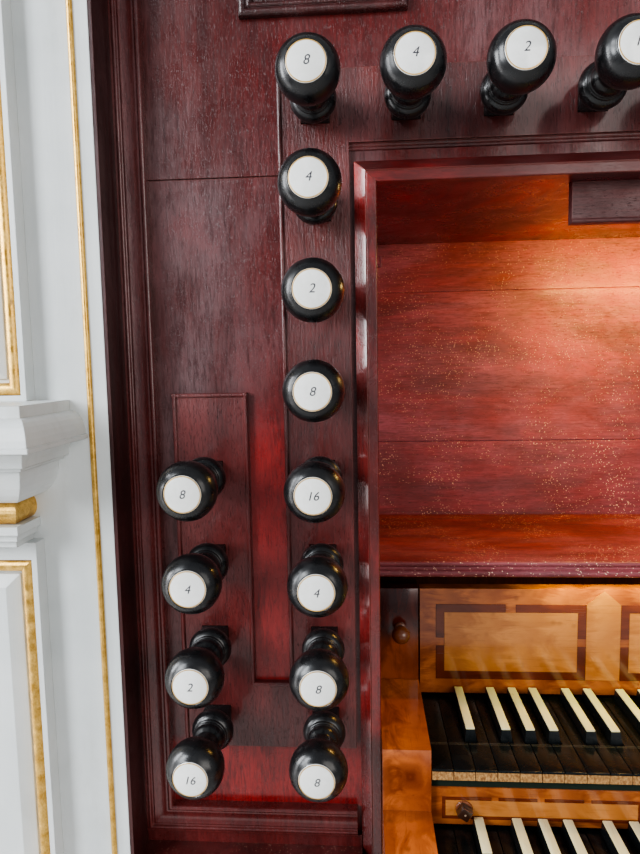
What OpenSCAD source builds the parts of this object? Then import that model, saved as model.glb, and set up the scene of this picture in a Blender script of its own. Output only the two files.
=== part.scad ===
// Console of a pipe organ, built into the front of its case.
// Right is +X, into the organ is +Y, up is +Z. The floor is z = 0.

/* [Case] */
// Height of the skirting
plinth_h = 120; // [80:5:180]
// How far the skirting stands in front of the case
plinth_out = 34; // [20:2:60]
// Width of the white stile between the opening and the pilaster
stile_w = 78; // [60:1:110]
// Width of a pilaster
pilaster_w = 130; // [110:1:170]
// How far a pilaster stands in front of the stiles
pilaster_out = 18; // [14:1:30]
// Width of the stile outside the pilaster
outer_stile_w = 36.8; // [30:0.2:80]
// Height of the head rail over the opening
frieze_h = 46; // [40:1:120]
// Height of the cornice
cornice_h = 150; // [120:5:200]
// How far the cornice stands out
cornice_out = 56; // [40:2:80]
// Thickness of the case's boards
board_t = 24; // [18:1:30]
// How far the white face stands in front of the stop boards
reveal_d = 50; // [40:1:70]
// Width of the gilt bead around the opening
bead_d = 6.4; // [5:0.2:10]
// Distance of that bead from the opening
bead_in = 19; // [14:1:28]
// Width of the gilt mouldings on the pilasters
gilt_w = 13; // [10:0.5:16]

/* [Corbels] */
// Height of the corbels' top above the floor
corbel_top_z = 1330.5; // [1250:0.5:1400]
// Height of a corbel, from the lower pilaster to its top
corbel_h = 150; // [130:1:180]
// How far a corbel's top stands in front of the stiles
corbel_out = 124; // [100:1:150]
// How far a corbel's top overhangs the pilaster's side
corbel_over = 55; // [40:1:65]

/* [Console front] */
// Height of the ledge in front of the panels
ledge_z = 793.5; // [760:0.5:800]
// Height of the sill between the ledge and the moulding
sill_h = 14; // [8:1:30]
// Width of the beaded moulding around the panels
surround_w = 33; // [28:1:40]
// Height of the plain field between the moulding and the stop boards
field_rise = 74; // [50:1:120]
// Width of the field between the moulding and the outer stop board
margin_w = 17.5; // [12:0.5:60]
// Width of the outer stop board
column_w = 85.5; // [76:0.5:100]
// Width of the field between the outer and the inner stop board
field_w = 41; // [34:0.5:80]
// Width of the inner stop board
strip_w = 76.5; // [70:0.5:90]
// Height of the board that joins both below
cross_h = 80; // [70:1:100]
// Height of the stop board over the recess
row_h = 76; // [70:1:90]
// How far the stop boards stand in front of the field
board_proud = 6; // [4:0.5:8]
// Thickness of the panels
panel_t = 22; // [18:1:30]
// Width of the gap between the inner stop board and the recess's frame
frame_gap = 5; // [3:0.5:10]
// Width of the recess's frame
frame_w = 23.5; // [18:0.5:30]
// Side of the raised panels above the stop boards
raised_w = 178; // [140:2:200]
// Height of the field between the upper stop board and the raised panels
raised_gap = 56; // [30:1:100]

/* [Drawknobs] */
// Distance between drawknobs that stand above each other
knob_pitch = 96.9; // [92:0.1:110]
// Drawknobs on the inner stop board, without the one in the corner
strip_knobs = 7; // [7:1:7]
// Drawknobs on the outer stop board
column_knobs = 4; // [4:1:4]
// Distance between drawknobs in the upper row
row_pitch = 96; // [92:0.5:98]
// Step from the highest drawknob of the inner stop board up to the row
row_step = 101.7; // [96:0.1:115]
// Diameter of a drawknob's ball
ball_d = 60.6; // [56:0.2:70]
// Distance from the stop board to the porcelain face of a closed drawknob
knob_l = 115; // [105:0.2:125]
// Side of the square shank
shank_w = 30; // [26:1:33]
// Clearance between the shank and its hole
shank_fit = 0.3; // [0.2:0.05:0.5]
// How far the square of the shank shows in front of the stop board
shank_out = 16; // [12:1:26]
// Diameter of the turned shoulder in front of the square
bell_d = 48; // [40:0.5:52]
// Diameter of the neck behind the ball
neck_d = 26; // [24:0.5:32]
// Travel of a drawknob
knob_travel = 45; // [30:1:55]
// Diameter of the porcelain face
face_d = 37.4; // [32:0.2:38]

/* [Manuals] */
// Height of the lower manual's naturals above the floor
lower_key_z = 854.5; // [840:0.5:900]
// Rise from the lower to the upper manual
manual_rise = 70.5; // [66:0.5:80]
// Distance that the lower manual stands in front of the upper one
manual_step = 104; // [96:1:115]
// How far the upper naturals stand in front of the stop boards
key_out = 51; // [48:1:70]
// Distance between neighbouring natural keys
key_pitch = 23.5; // [22:0.1:25]
// Number of natural keys, from C upwards
naturals = 32; // [29:1:36]
// Gap between neighbouring keys
key_gap = 0.8; // [0.6:0.1:1.2]
// Length of a natural's head, in front of the sharps
head_l = 50; // [42:1:54]
// Length of a key in front of the nameboard
key_l = 155; // [150:1:170]
// Height of a key
key_t = 13; // [11:0.5:18]
// Thickness of the black covers on the naturals
cover_t = 3; // [2:0.5:4]
// Height of the sharps above the naturals
sharp_rise = 14; // [11:0.5:16]
// Width of a sharp at its foot
sharp_w = 13.4; // [12:0.2:15]
// Width of a sharp's top
sharp_top_w = 10.2; // [9:0.2:12]
// Distance from a natural's head back to the sharp
sharp_in = 3.7; // [2:0.1:6]
// Width of a key cheek
cheek_w = 52.7; // [45:0.1:60]
// Height of the cheeks above the naturals
cheek_rise = 21.5; // [18:0.5:30]
// Thickness of the key bed
bed_t = 30; // [25:1:40]
// Thickness of the slip in front of the lower keys
slip_t = 22; // [18:1:30]

/* [Nameboard and recess] */
// Thickness of the nameboard and of the rail between the manuals
nameboard_t = 18; // [14:1:24]
// Height of the rail between the manuals
rail_h = 43.5; // [36:0.5:46]
// Height of the nameboard
nameboard_h = 141.5; // [130:0.5:150]
// Gap between the nameboard and the desk ledge
shadow_gap = 24; // [15:1:40]
// Thickness of the desk ledge
ledge_t = 20.5; // [16:0.5:26]
// Distance from the stop boards in to the ledge's nose
ledge_in = 75; // [50:1:90]
// Distance from the stop boards in to the desk's foot
desk_in = 325; // [280:5:340]
// How much further in the desk's top is
desk_lean = 35; // [20:1:60]
// Thickness of the desk
desk_t = 20; // [15:1:25]
// Depth of the recess's lining behind the stop boards
recess_d = 384; // [384:1:480]
// Thickness of the recess's lining
lining_t = 14; // [10:1:18]
// Width of the board that hides the lamp
lamp_w = 437.2; // [300:0.2:600]
// Height of the board that hides the lamp
lamp_h = 44; // [30:1:60]

/* [Inlay] */
// Width of the middle light field on the nameboard
mid_field_w = 217.8; // [180:0.2:240]
// Distance from the nameboard's end to its outer dark band
end_margin = 21.8; // [15:0.1:40]
// Height of the light fields on the nameboard
field_h = 79.5; // [70:0.5:90]
// Width of the dark bands around them
band_w = 10.8; // [8:0.2:13]
// Width of the pointed upright fields between them
house_w = 43; // [36:1:50]
// Thickness of the veneers above the wood they are let into
veneer_t = 0.6; // [0.4:0.1:1]

/* [Hidden] */
$fn = 48;

// Colours
white = [0.86, 0.87, 0.86];
gold = [0.83, 0.62, 0.24];
mahogany = [0.36, 0.09, 0.08];
dark_mahogany = [0.2, 0.06, 0.06];
amber = [0.72, 0.36, 0.12];
maple = [0.84, 0.58, 0.28];
walnut = [0.42, 0.15, 0.07];
ebony = [0.07, 0.06, 0.06];
lime = [0.8, 0.66, 0.45];
bone = [0.9, 0.85, 0.7];
lacquer = [0.04, 0.04, 0.04];
porcelain = [0.95, 0.95, 0.93];

// Small clearances, joints between boards, half-round beads and the keys' hidden tails
fit = 0.5;
seam = 1.5;
bead_r = 2.4;
tail_l = 60;
jamb_t = 4;
back_gap = 16;

// Depths, from the stop boards' face, which is set so that the whole is centred on y = 0
front_reach = key_out + manual_step + slip_t + 4;
case_d = recess_d + back_gap + board_t;
panel_y = (front_reach - case_d) / 2;
field_y = panel_y + board_proud;
face_y = panel_y - reveal_d;
back_y = panel_y + case_d;
slip_y = panel_y - front_reach;
upper_front_y = panel_y - key_out;
lower_front_y = upper_front_y - manual_step;
upper_board_y = upper_front_y + key_l;
lower_board_y = upper_front_y + 6;
cleat_y = upper_board_y + 2 * nameboard_t;

// Places of the drawknobs on their boards
strip_axis = 35.5;
column_axis = 45.3;
lowest_knob = 35.6;
row_axis = 35.7;
column_rise = 92;
row_knobs = 5;

// Widths, as distances from the middle of the console
cheek_x = naturals * key_pitch / 2;
niche_x = cheek_x + fit + cheek_w;
frame_x = niche_x + frame_w;
strip_in = frame_x + frame_gap;
strip_out = strip_in + strip_w;
strip_x = strip_in + strip_axis;
column_in = strip_out + field_w;
column_out = column_in + column_w;
column_x = column_in + column_axis;
open_x = column_out + margin_w + surround_w;
stile_x = open_x + jamb_t;
pil_in = stile_x + stile_w;
pil_x = pil_in + pilaster_w / 2;
case_x = pil_in + pilaster_w + outer_stile_w;

// Heights of the front
architrave_h = 20.5;
raised_margin = 9.5;
rail_z = ledge_z + sill_h;
boards_z = rail_z + surround_w + field_rise;
knob_z = boards_z + lowest_knob;
row_z = knob_z + (strip_knobs - 1) * knob_pitch + row_step;
row_low = row_z - row_axis;
row_top = row_low + row_h;
column_top = knob_z + (column_knobs - 1) * knob_pitch + column_rise;
niche_top = row_low - architrave_h - frame_w;
raised_z = row_top + raised_gap + raised_w / 2;
field_top = raised_z + raised_w / 2 + raised_margin + surround_w;
case_h = field_top + jamb_t + frieze_h + cornice_h;
cornice_z = case_h - cornice_h;

// Heights of the manuals and the desk
upper_key_z = lower_key_z + manual_rise;
name_z = upper_key_z + 4;
name_top = name_z + nameboard_h;
desk_z = name_top + shadow_gap;
desk_top = desk_z + ledge_t;
rail_low = lower_key_z + 3;
rail_top = rail_low + rail_h;

// Inlay
house_x = mid_field_w / 2 + band_w + house_w / 2;
end_field_in = house_x + house_w / 2 + band_w;
end_field_out = cheek_x - end_margin - band_w;
inlay_z = name_z + 30.5;
strip_mid_w = 286;
strip_end_in = strip_mid_w / 2 + 12.7;
strip_end_out = cheek_x - 15.2;
strip_h = 18.2;
strip_z = rail_low + 10.5;
line_w = 3.5;
peg_x = cheek_x - 35.4;
peg_z = rail_low + 19;
peg_w = 12;
collar_d = 17.5;

// A box between two corners
module block(x0, x1, y0, y1, z0, z1)
    translate([x0, y0, z0]) cube([x1 - x0, y1 - y0, z1 - z0]);

// Children and their mirror image on the other side of the console
module pair() {
    children();
    mirror([1, 0, 0]) children();
}

// A strip along X whose profile has depth as x and height as y
module along_x(x0, x1)
    translate([x0, 0, 0]) rotate([90, 0, 90]) linear_extrude(x1 - x0) children();

// A strip along Y whose profile has X as x and height as y
module along_y(y0, y1)
    translate([0, y1, 0]) rotate([90, 0, 0]) linear_extrude(y1 - y0) children();

// A strip up Z whose profile is in plan
module along_z(z0, z1)
    translate([0, 0, z0]) linear_extrude(z1 - z0) children();

// Beads of radius r around a line along X or Z
module bead_x(x0, x1, y, z, r) translate([x0, y, z]) rotate([0, 90, 0]) cylinder(h = x1 - x0, r = r);
module bead_z(x, y, z0, z1, r) translate([x, y, z0]) cylinder(h = z1 - z0, r = r);

// Frame of four mitred strips around the middle of an upright face at y = 0.
// The profile's x is the distance in from the frame's edge, its y the distance out of the face.
module mitred_frame(w, h, t) {
    for (side = [0:3]) {
        len = side % 2 == 0 ? w : h;
        half = (side % 2 == 0 ? h : w) / 2;
        rotate([0, 90 * side, 0]) translate([0, 0, -half]) intersection() {
            along_x(-len / 2, len / 2) rotate(90) children();
            along_y(-reveal_d, 1)
                polygon([[-len / 2, 0], [len / 2, 0], [len / 2 - t, t], [-len / 2 + t, t]]);
        }
    }
}

// Field of a panel around the middle of an upright face at y = 0, bevelled to its edges
module raised_field(w, h, t, bevel) {
    edge = t / 3;
    intersection() {
        along_x(-w / 2, w / 2) polygon([[0, -h / 2], [0, h / 2], [-edge, h / 2], [-t, h / 2 - bevel],
            [-t, -h / 2 + bevel], [-edge, -h / 2]]);
        along_z(-h / 2, h / 2) polygon([[-w / 2, 0], [w / 2, 0], [w / 2, -edge], [w / 2 - bevel, -t],
            [-w / 2 + bevel, -t], [-w / 2, -edge]]);
    }
}

// Solid from y0 to y1 with moulded front and sides: each side point and front point is [out, z]
module moulded_box(x, y0, y1, side, front) {
    out = max([for (p = concat(side, front)) p[0]]) + 1;
    n = len(side) - 1;
    intersection() {
        along_x(-x - out, x + out) polygon(concat([for (p = front) [y0 - p[0], p[1]]],
            [[y1, front[n][1]], [y1, front[0][1]]]));
        along_y(y0 - out, y1) polygon(concat([for (p = side) [x + p[0], p[1]]],
            [for (i = [n:-1:0]) [-x - side[i][0], side[i][1]]]));
    }
}

// Profiles of the case's mouldings, as [out, z] shares of their size
function ovolo(o0, o1, z0, z1) =
    [for (a = [0:15:90]) [o0 + (o1 - o0) * sin(a), z0 + (z1 - z0) * (1 - cos(a))]];
function cyma(o0, o1, z0, z1) =
    [for (s = [0:0.125:1]) [o1 + (o0 - o1) * (1 + cos(180 * s)) / 2, z0 + (z1 - z0) * s]];
cornice_shape = concat([[0.18, 0], [0.18, 0.07], [0.07, 0.1], [0.07, 0.44], [0.25, 0.48], [0.25, 0.53]],
    cyma(0.25, 0.62, 0.53, 0.62), [[0.79, 0.64], [0.79, 0.79]], cyma(0.79, 1, 0.79, 0.93), [[1, 1]]);
crown_shape = [for (p = ovolo(0.7, 0.96, 0, 1)) [p[0], 0.925 - 0.165 * p[1]]];
corbel_shape = concat(ovolo(-0.05, 0.4, 0.333, 0.583),
    [[0.5, 0.583], [0.5, 0.61], [0.6, 0.61], [0.6, 0.65], [0.66, 0.7], [0.94, 0.72], [1, 0.727], [1, 0.755]],
    [for (i = [6:-1:0]) crown_shape[i]], [[0.67, 0.925], [0.67, 1]]);

// Skirting that stands on the floor around the case
module plinth() color(white) {
    side = [[12, 0], [12, plinth_h - 20], [7, plinth_h - 12], [7, plinth_h]];
    front = [for (p = side) [p[0] + plinth_out - 12, p[1]]];
    difference() {
        moulded_box(case_x, face_y, back_y, side, front);
        block(-case_x + board_t, case_x - board_t, face_y + 30, back_y - board_t, -1, plinth_h + 1);
    }
}

// Side walls of the case
module side_walls() color(white)
    pair() block(case_x - board_t, case_x, face_y + board_t, back_y - board_t, plinth_h, cornice_z);

// Upright boards that close the back
module back_boards() color(dark_mahogany) {
    boards = 8;
    w = 2 * case_x / boards;
    difference() {
        block(-case_x, case_x, back_y - board_t, back_y, plinth_h, cornice_z);
        for (i = [1:boards - 1])
            block(i * w - case_x - seam, i * w - case_x + seam, back_y - 5, back_y + 1, 0, case_h);
    }
}

// Moulded cornice around the front and sides, hollow under its top board
module cornice() color(white) {
    shape = [for (p = cornice_shape) [p[0] * cornice_out, cornice_z + p[1] * cornice_h]];
    difference() {
        moulded_box(case_x, face_y, back_y, shape, shape);
        block(-case_x + board_t, case_x - board_t, face_y + board_t, back_y - board_t, cornice_z - 1,
            case_h - board_t);
    }
}

// White stiles and head rail around the opening
module case_frame() color(white)
    difference() {
        block(-case_x, case_x, face_y, face_y + board_t, plinth_h, cornice_z);
        block(-stile_x, stile_x, face_y - 1, face_y + board_t + 1, plinth_h - 1, field_top + jamb_t);
    }

// A pilaster with a sunk panel between two heights, and the place of its gilt moulding
panel_edge = 6;
panel_top = 19;
module pilaster(z0, z1, p0, p1) translate([pil_x, face_y, 0]) {
    w = pilaster_w;
    inner = w - 2 * (panel_edge + gilt_w);
    difference() {
        block(-w / 2, w / 2, -pilaster_out, 0, z0, z1);
        block(-w / 2 + panel_edge, w / 2 - panel_edge, -pilaster_out - 1, -pilaster_out + 9, p0, p1);
    }
    translate([0, -pilaster_out + 10, (p0 + p1) / 2])
        raised_field(inner - 8, p1 - p0 - 2 * gilt_w - 8, 9, 14);
}
module pilaster_gilding(p0, p1)
    translate([pil_x, face_y - pilaster_out + 9, (p0 + p1) / 2])
        mitred_frame(pilaster_w - 2 * panel_edge, p1 - p0, gilt_w) {
            square([gilt_w, 4]);
            intersection() {
                translate([gilt_w / 2, 4]) circle(gilt_w / 2);
                square([gilt_w, gilt_w]);
            }
        }
pil_low = plinth_h + 130;
corbel_z = corbel_top_z - corbel_h;

// Pilasters below the corbels
module lower_pilasters() color(white)
    pair() pilaster(plinth_h, corbel_z, pil_low, corbel_z - panel_top);

// Pilasters above the corbels
module upper_pilasters() color(white)
    pair() pilaster(corbel_top_z, cornice_z, corbel_top_z + panel_edge, cornice_z - panel_top);

// Corbels that carry the upper pilasters, in shares of their overhang and height
function corbel_side(shape) = [for (p = shape) [p[0] * corbel_over, corbel_z + p[1] * corbel_h]];
function corbel_front(shape) =
    [for (p = shape) [(0.406 + 0.594 * p[0]) * corbel_out, corbel_z + p[1] * corbel_h]];
neck_shape = [[-0.2, 0], [-0.2, 0.05], [-0.12, 0.05], [-0.12, 0.1], [-0.05, 0.1], [-0.05, 0.16]];
module corbel(shape) translate([pil_x, face_y, 0])
    moulded_box(pilaster_w / 2, 0, 0, corbel_side(shape), corbel_front(shape));
module corbels() color(white) pair() {
    corbel(neck_shape);
    corbel(corbel_shape);
}

// Half-round gilt torus between a corbel and its neck
torus_shape = [for (a = [-90:15:90]) [-0.26 + 0.16 * cos(a), 0.2465 + 0.0865 * sin(a)]];

// Gilt beads around the opening, mouldings on the pilasters and tori under the corbels
module gilding() color(gold) {
    x = open_x + bead_in + bead_d / 2;
    z = field_top + bead_in + bead_d / 2;
    difference() {
        union() {
            pair() bead_z(x, face_y, plinth_h, z, bead_d / 2);
            bead_x(-x, x, face_y, z, bead_d / 2);
            pair() translate([x, face_y, z]) sphere(d = bead_d);
        }
        block(-case_x, case_x, face_y, face_y + bead_d, 0, case_h);
    }
    pair() {
        pilaster_gilding(pil_low, corbel_z - panel_top);
        pilaster_gilding(corbel_top_z + panel_edge, cornice_z - panel_top);
        corbel(torus_shape);
    }
}

// Dark boards that line the opening between the white face and the panels
module reveal_boards() color(dark_mahogany)
    difference() {
        block(-stile_x, stile_x, face_y + 0.5, field_y, plinth_h, field_top + jamb_t);
        block(-open_x, open_x, face_y, field_y + 1, plinth_h - 1, field_top);
    }

// Beaded profile of the moulding around the panels
module surround_profile() {
    w = surround_w;
    difference() {
        square([w, 11]);
        translate([0.26 * w, 11.5]) circle(1.6);
        translate([0.54 * w, 27]) circle(17.5);
    }
    translate([0.15 * w, 11]) circle(2);
    translate([w - 3, 10.5]) circle(3);
}

// Beaded moulding around the panels, on a sill over the ledge, ending at the recess's frame
module surround_moulding() color(mahogany) {
    h = field_top - rail_z;
    difference() {
        translate([0, field_y, rail_z + h / 2]) mitred_frame(2 * open_x, h, surround_w) surround_profile();
        block(-strip_in, strip_in, panel_y - reveal_d, back_y, ledge_z, rail_z + surround_w + 1);
    }
    pair() block(frame_x, open_x, field_y - 9, field_y, ledge_z, rail_z);
}

// Square holes for the shanks of the drawknobs, with their clearance
module shank_holes(y0, y1) {
    s = shank_w / 2 + shank_fit;
    pair() {
        for (i = [0:strip_knobs - 1])
            translate([strip_x, 0, knob_z + i * knob_pitch]) block(-s, s, y0, y1, -s, s);
        for (i = [0:column_knobs - 1])
            translate([column_x, 0, knob_z + i * knob_pitch]) block(-s, s, y0, y1, -s, s);
        for (i = [0:row_knobs - 1])
            translate([strip_x - i * row_pitch, 0, row_z]) block(-s, s, y0, y1, -s, s);
    }
}

// Panelled field behind the stop boards, with a joint between its boards
module front_panels() color(mahogany)
    difference() {
        block(-open_x, open_x, field_y, field_y + panel_t, ledge_z, field_top);
        block(-niche_x - lining_t, niche_x + lining_t, panel_y, back_y, ledge_z - 1, niche_top + lining_t);
        pair() block(strip_out, open_x + 1, field_y - 1, field_y + 2, row_low - 31, row_low - 31 + seam);
        shank_holes(panel_y, back_y);
    }

// Raised panels with moulded frames over the corners
module raised_panels() color(mahogany)
    pair() translate([strip_x - raised_margin, field_y, raised_z]) {
        mitred_frame(raised_w, raised_w, 14) {
            square([14, 6]);
            translate([4, 5]) circle(4);
            translate([11, 5]) circle(2.5);
        }
        raised_field(raised_w - 28, raised_w - 28, 7, 20);
    }

// Stop boards: strip, column and cross piece on each side and the row over the recess, with beads
module stop_boards() color(mahogany)
    difference() {
        union() {
            pair() {
                block(strip_in, strip_out, panel_y, field_y, boards_z, row_top);
                block(column_in, column_out, panel_y, field_y, boards_z, column_top);
                block(strip_out - 1, column_in + 1, panel_y, field_y, boards_z, boards_z + cross_h);
                bead_z(strip_out - bead_r, panel_y, boards_z + cross_h - bead_r, row_top - bead_r, bead_r);
                bead_z(column_in + bead_r, panel_y, boards_z + cross_h - bead_r, column_top, bead_r);
                bead_z(column_out - bead_r, panel_y, boards_z, column_top, bead_r);
                bead_x(strip_out - bead_r, column_in + bead_r, panel_y, boards_z + cross_h - bead_r, bead_r);
                bead_x(column_in, column_out, panel_y, column_top - bead_r, bead_r);
            }
            block(-strip_in - 1, strip_in + 1, panel_y, field_y, row_low, row_top);
            for (k = [0.8, 2.4])
                bead_x(-strip_in - 1, strip_in + 1, field_y, row_low + 0.5 - k * bead_r, bead_r);
        }
        block(-open_x, open_x, field_y, back_y, ledge_z, field_top);
        shank_holes(panel_y - 10, back_y);
    }

// Frame of the music recess: a bevel that faces the recess, then a fillet
module niche_frame() color(mahogany) {
    low = ledge_z - bed_t;
    h = 2 * (niche_top + frame_w - low);
    intersection() {
        translate([0, field_y, low]) mitred_frame(2 * frame_x, h, frame_w)
            polygon([[0, 0], [0, 17], [2, 18], [12.4, 9], [12.4, 8], [frame_w, 8], [frame_w, 0]]);
        block(-frame_x - 1, frame_x + 1, face_y, back_y, low, case_h);
    }
}

// Side walls and ceiling of the music recess, with small catches for the desk
module niche_lining() color(mahogany) {
    difference() {
        block(-niche_x - lining_t, niche_x + lining_t, field_y, panel_y + recess_d, ledge_z,
            niche_top + lining_t);
        block(-niche_x, niche_x, panel_y, back_y, ledge_z - 1, niche_top);
    }
    catch_z = niche_top - 74;
    pair() translate([niche_x, panel_y + 90, catch_z]) {
        block(-8, 1, 0, 6, 0, 4);
        block(-8, -5, 0, 6, 3, 13);
    }
}

// Leaning music desk, with joints between its three boards
module music_desk() color(mahogany) {
    rise = niche_top - desk_top;
    difference() {
        along_x(-niche_x, niche_x) translate([panel_y + desk_in, desk_top])
            polygon([[0, 0], [desk_t, 0], [desk_t + desk_lean, rise], [desk_lean, rise]]);
        for (share = [0.27, 0.82])
            translate([0, panel_y + desk_in + desk_lean * share, desk_top + rise * share])
                block(-niche_x - 1, niche_x + 1, -2, 2, 0, seam);
    }
}

// Ledge under the desk with its moulded nose
module desk_ledge() color(mahogany) {
    y = panel_y + ledge_in;
    along_x(-niche_x, niche_x) difference() {
        union() {
            translate([y + 5, desk_z]) square([desk_in + desk_t - ledge_in - 5, ledge_t]);
            translate([y + 4, desk_top - 3]) circle(3);
            translate([y + 5, desk_top - 9]) circle(2);
            translate([y + 5, desk_z + 5]) circle(5);
        }
        translate([y + 3, desk_top - 6.5]) circle(1);
    }
}

// Board under the ceiling that hides the lamp, with a bead along its edge
module lamp_board() color(dark_mahogany) {
    block(-lamp_w / 2, lamp_w / 2, panel_y + 18, panel_y + 30, niche_top - lamp_h, niche_top);
    bead_x(-lamp_w / 2, lamp_w / 2, panel_y + 18, niche_top - lamp_h + bead_r, bead_r);
}

// Fascia behind the upper manual
module nameboard() color(amber)
    block(-cheek_x + 1, cheek_x - 1, upper_board_y, upper_board_y + nameboard_t, name_z, name_top);

// Outline of the pointed field between two light fields, around x = 0
module house_outline() {
    w = house_w / 2;
    shoulder = inlay_z + field_h + band_w;
    polygon([[-w, inlay_z - band_w], [w, inlay_z - band_w], [w, shoulder], [0, name_top - 2],
        [-w, shoulder]]);
}

// Light veneers let into the nameboard and the rail below it
module light_inlay() color(maple) {
    along_y(upper_board_y - veneer_t, upper_board_y) {
        translate([-mid_field_w / 2, inlay_z]) square([mid_field_w, field_h]);
        for (s = [-1, 1]) {
            translate([s * house_x, 0]) house_outline();
            translate([s < 0 ? -end_field_out : end_field_in, inlay_z])
                square([end_field_out - end_field_in, field_h]);
        }
    }
    along_y(lower_board_y - veneer_t, lower_board_y) {
        translate([-strip_mid_w / 2, strip_z]) square([strip_mid_w, strip_h]);
        for (s = [0, 1]) mirror([s, 0]) difference() {
            translate([strip_end_in, strip_z]) square([strip_end_out - strip_end_in, strip_h]);
            translate([peg_x, peg_z]) circle(collar_d / 2 + fit);
        }
    }
}

// Dark band around a field from x0 to x1, w wide, broken above at shares of its width and at both sides
module band_outline(x0, x1, z, h, w, gap, top_gaps, side_gap) {
    difference() {
        translate([x0 - w, z - w]) square([x1 - x0 + 2 * w, h + 2 * w]);
        translate([x0, z]) square([x1 - x0, h]);
        for (share = top_gaps) translate([x0 + (x1 - x0) * share - gap / 2, z + 1]) square([gap, h + w]);
        translate([x0 - w - 1, z + (h - side_gap) / 2]) square([x1 - x0 + 2 * w + 2, side_gap]);
    }
}

// Dark veneers around the light ones
module dark_inlay() color(walnut) {
    along_y(upper_board_y - veneer_t, upper_board_y) {
        w = band_w - 0.1;
        band_outline(-mid_field_w / 2, mid_field_w / 2, inlay_z, field_h, w, 1.2 * band_w, [0.5], band_w);
        for (s = [0, 1]) mirror([s, 0])
            band_outline(end_field_in, end_field_out, inlay_z, field_h, w, 1.2 * band_w, [0.5], band_w);
    }
    along_y(lower_board_y - veneer_t, lower_board_y) {
        gaps = [0.26, 0.5, 0.74];
        band_outline(-strip_mid_w / 2, strip_mid_w / 2, strip_z, strip_h, line_w, 8, gaps, 0.1);
        for (s = [0, 1]) mirror([s, 0]) difference() {
            band_outline(strip_end_in, strip_end_out, strip_z, strip_h, line_w, 8, gaps, 0.1);
            translate([peg_x, peg_z]) circle(collar_d / 2 + fit);
        }
    }
}

// Blocks at the nameboard's ends with their turned knobs, and the cleats behind its ends
module end_blocks() color(amber) pair() {
    low = upper_key_z + cheek_rise;
    block(cheek_x + fit, niche_x, upper_board_y, upper_board_y + nameboard_t, low, name_top);
    block(cheek_x - 12, niche_x, upper_board_y + nameboard_t, cleat_y, low, name_top);
    translate([cheek_x + cheek_w / 2 - 2, upper_board_y, name_top - 54]) rotate([90, 0, 0]) {
        cylinder(h = 3, d = 16);
        cylinder(h = 16, d = 9);
        translate([0, 0, 19]) sphere(d = 21);
    }
}

// Cheeks at the ends of the manuals, each upper one standing on the lower one
module key_cheeks() color(amber) pair() {
    step_z = lower_key_z + cheek_rise;
    block(cheek_x + fit, niche_x, upper_front_y, cleat_y, step_z, upper_key_z + cheek_rise);
    block(cheek_x + fit, niche_x, lower_front_y, cleat_y, ledge_z, step_z);
}

// Keys: a natural's letter is 0 for C and 6 for B, and the lowest octave has no C sharp
function letter(i) = i % 7;
function has_sharp(i) = i > 0 && i < naturals - 1 && letter(i) != 2 && letter(i) != 6;
function sharp_shift(i) = key_pitch * [-0.03, 0.15, 0, -0.11, 0.07, 0.2, 0][letter(i)];
function sharp_x(i) = -cheek_x + (i + 1) * key_pitch + sharp_shift(i);

// Space that a sharp takes between two naturals
module sharp_slot(i, front, back, z)
    if (has_sharp(i)) translate([sharp_x(i), 0, 0])
        block(-sharp_w / 2 - key_gap, sharp_w / 2 + key_gap, front + head_l, back + 1, z - key_t - 1, z + 1);

module manual_naturals(front, board, z) {
    back = board + tail_l;
    half_gap = key_gap / 2;
    for (i = [0:naturals - 1]) difference() {
        translate([-cheek_x + i * key_pitch + half_gap, 0, 0]) {
            color(ebony) block(0, key_pitch - key_gap, front, back, z - cover_t, z);
            color(lime) block(0, key_pitch - key_gap, front + 1, back, z - key_t, z - cover_t);
        }
        sharp_slot(i, front, back, z);
        sharp_slot(i - 1, front, back, z);
    }
}

// Natural keys of both manuals
module natural_keys() {
    manual_naturals(upper_front_y, upper_board_y, upper_key_z);
    manual_naturals(lower_front_y, lower_board_y, lower_key_z);
}

module manual_sharps(front, board, z) {
    y0 = front + head_l + sharp_in;
    slope = sharp_rise / 4;
    w = sharp_w / 2;
    top = z + sharp_rise;
    for (i = [0:naturals - 1]) if (has_sharp(i)) translate([sharp_x(i), 0, 0]) {
        color(ebony) block(-w, w, y0, board + tail_l, z - key_t, z);
        color(bone) intersection() {
            along_y(y0, board - 2) polygon([[-w, z - 1], [w, z - 1], [w, z], [sharp_top_w / 2, top],
                [-sharp_top_w / 2, top], [-w, z]]);
            along_x(-w, w) polygon([[y0, z - 1], [board, z - 1], [board, top], [y0 + slope, top], [y0, z]]);
        }
    }
}

// Sharp keys of both manuals
module sharp_keys() {
    manual_sharps(upper_front_y, upper_board_y, upper_key_z);
    manual_sharps(lower_front_y, lower_board_y, lower_key_z);
}

// Square-headed peg in the rail, turned as it stands, on its round collar
module peg() translate([peg_x, lower_board_y, peg_z]) rotate([90, 0, 0]) {
    translate([0, 0, -8]) cylinder(h = 9.5, d = collar_d);
    rotate(31) translate([-peg_w / 2, -peg_w / 2, 0]) cube([peg_w, peg_w, 11.5]);
}

// Rail between the manuals, with its pegs
module manual_rail() color(amber) {
    block(-cheek_x - fit, cheek_x + fit, lower_board_y, lower_board_y + nameboard_t, rail_low, rail_top);
    pair() peg();
}

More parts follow.
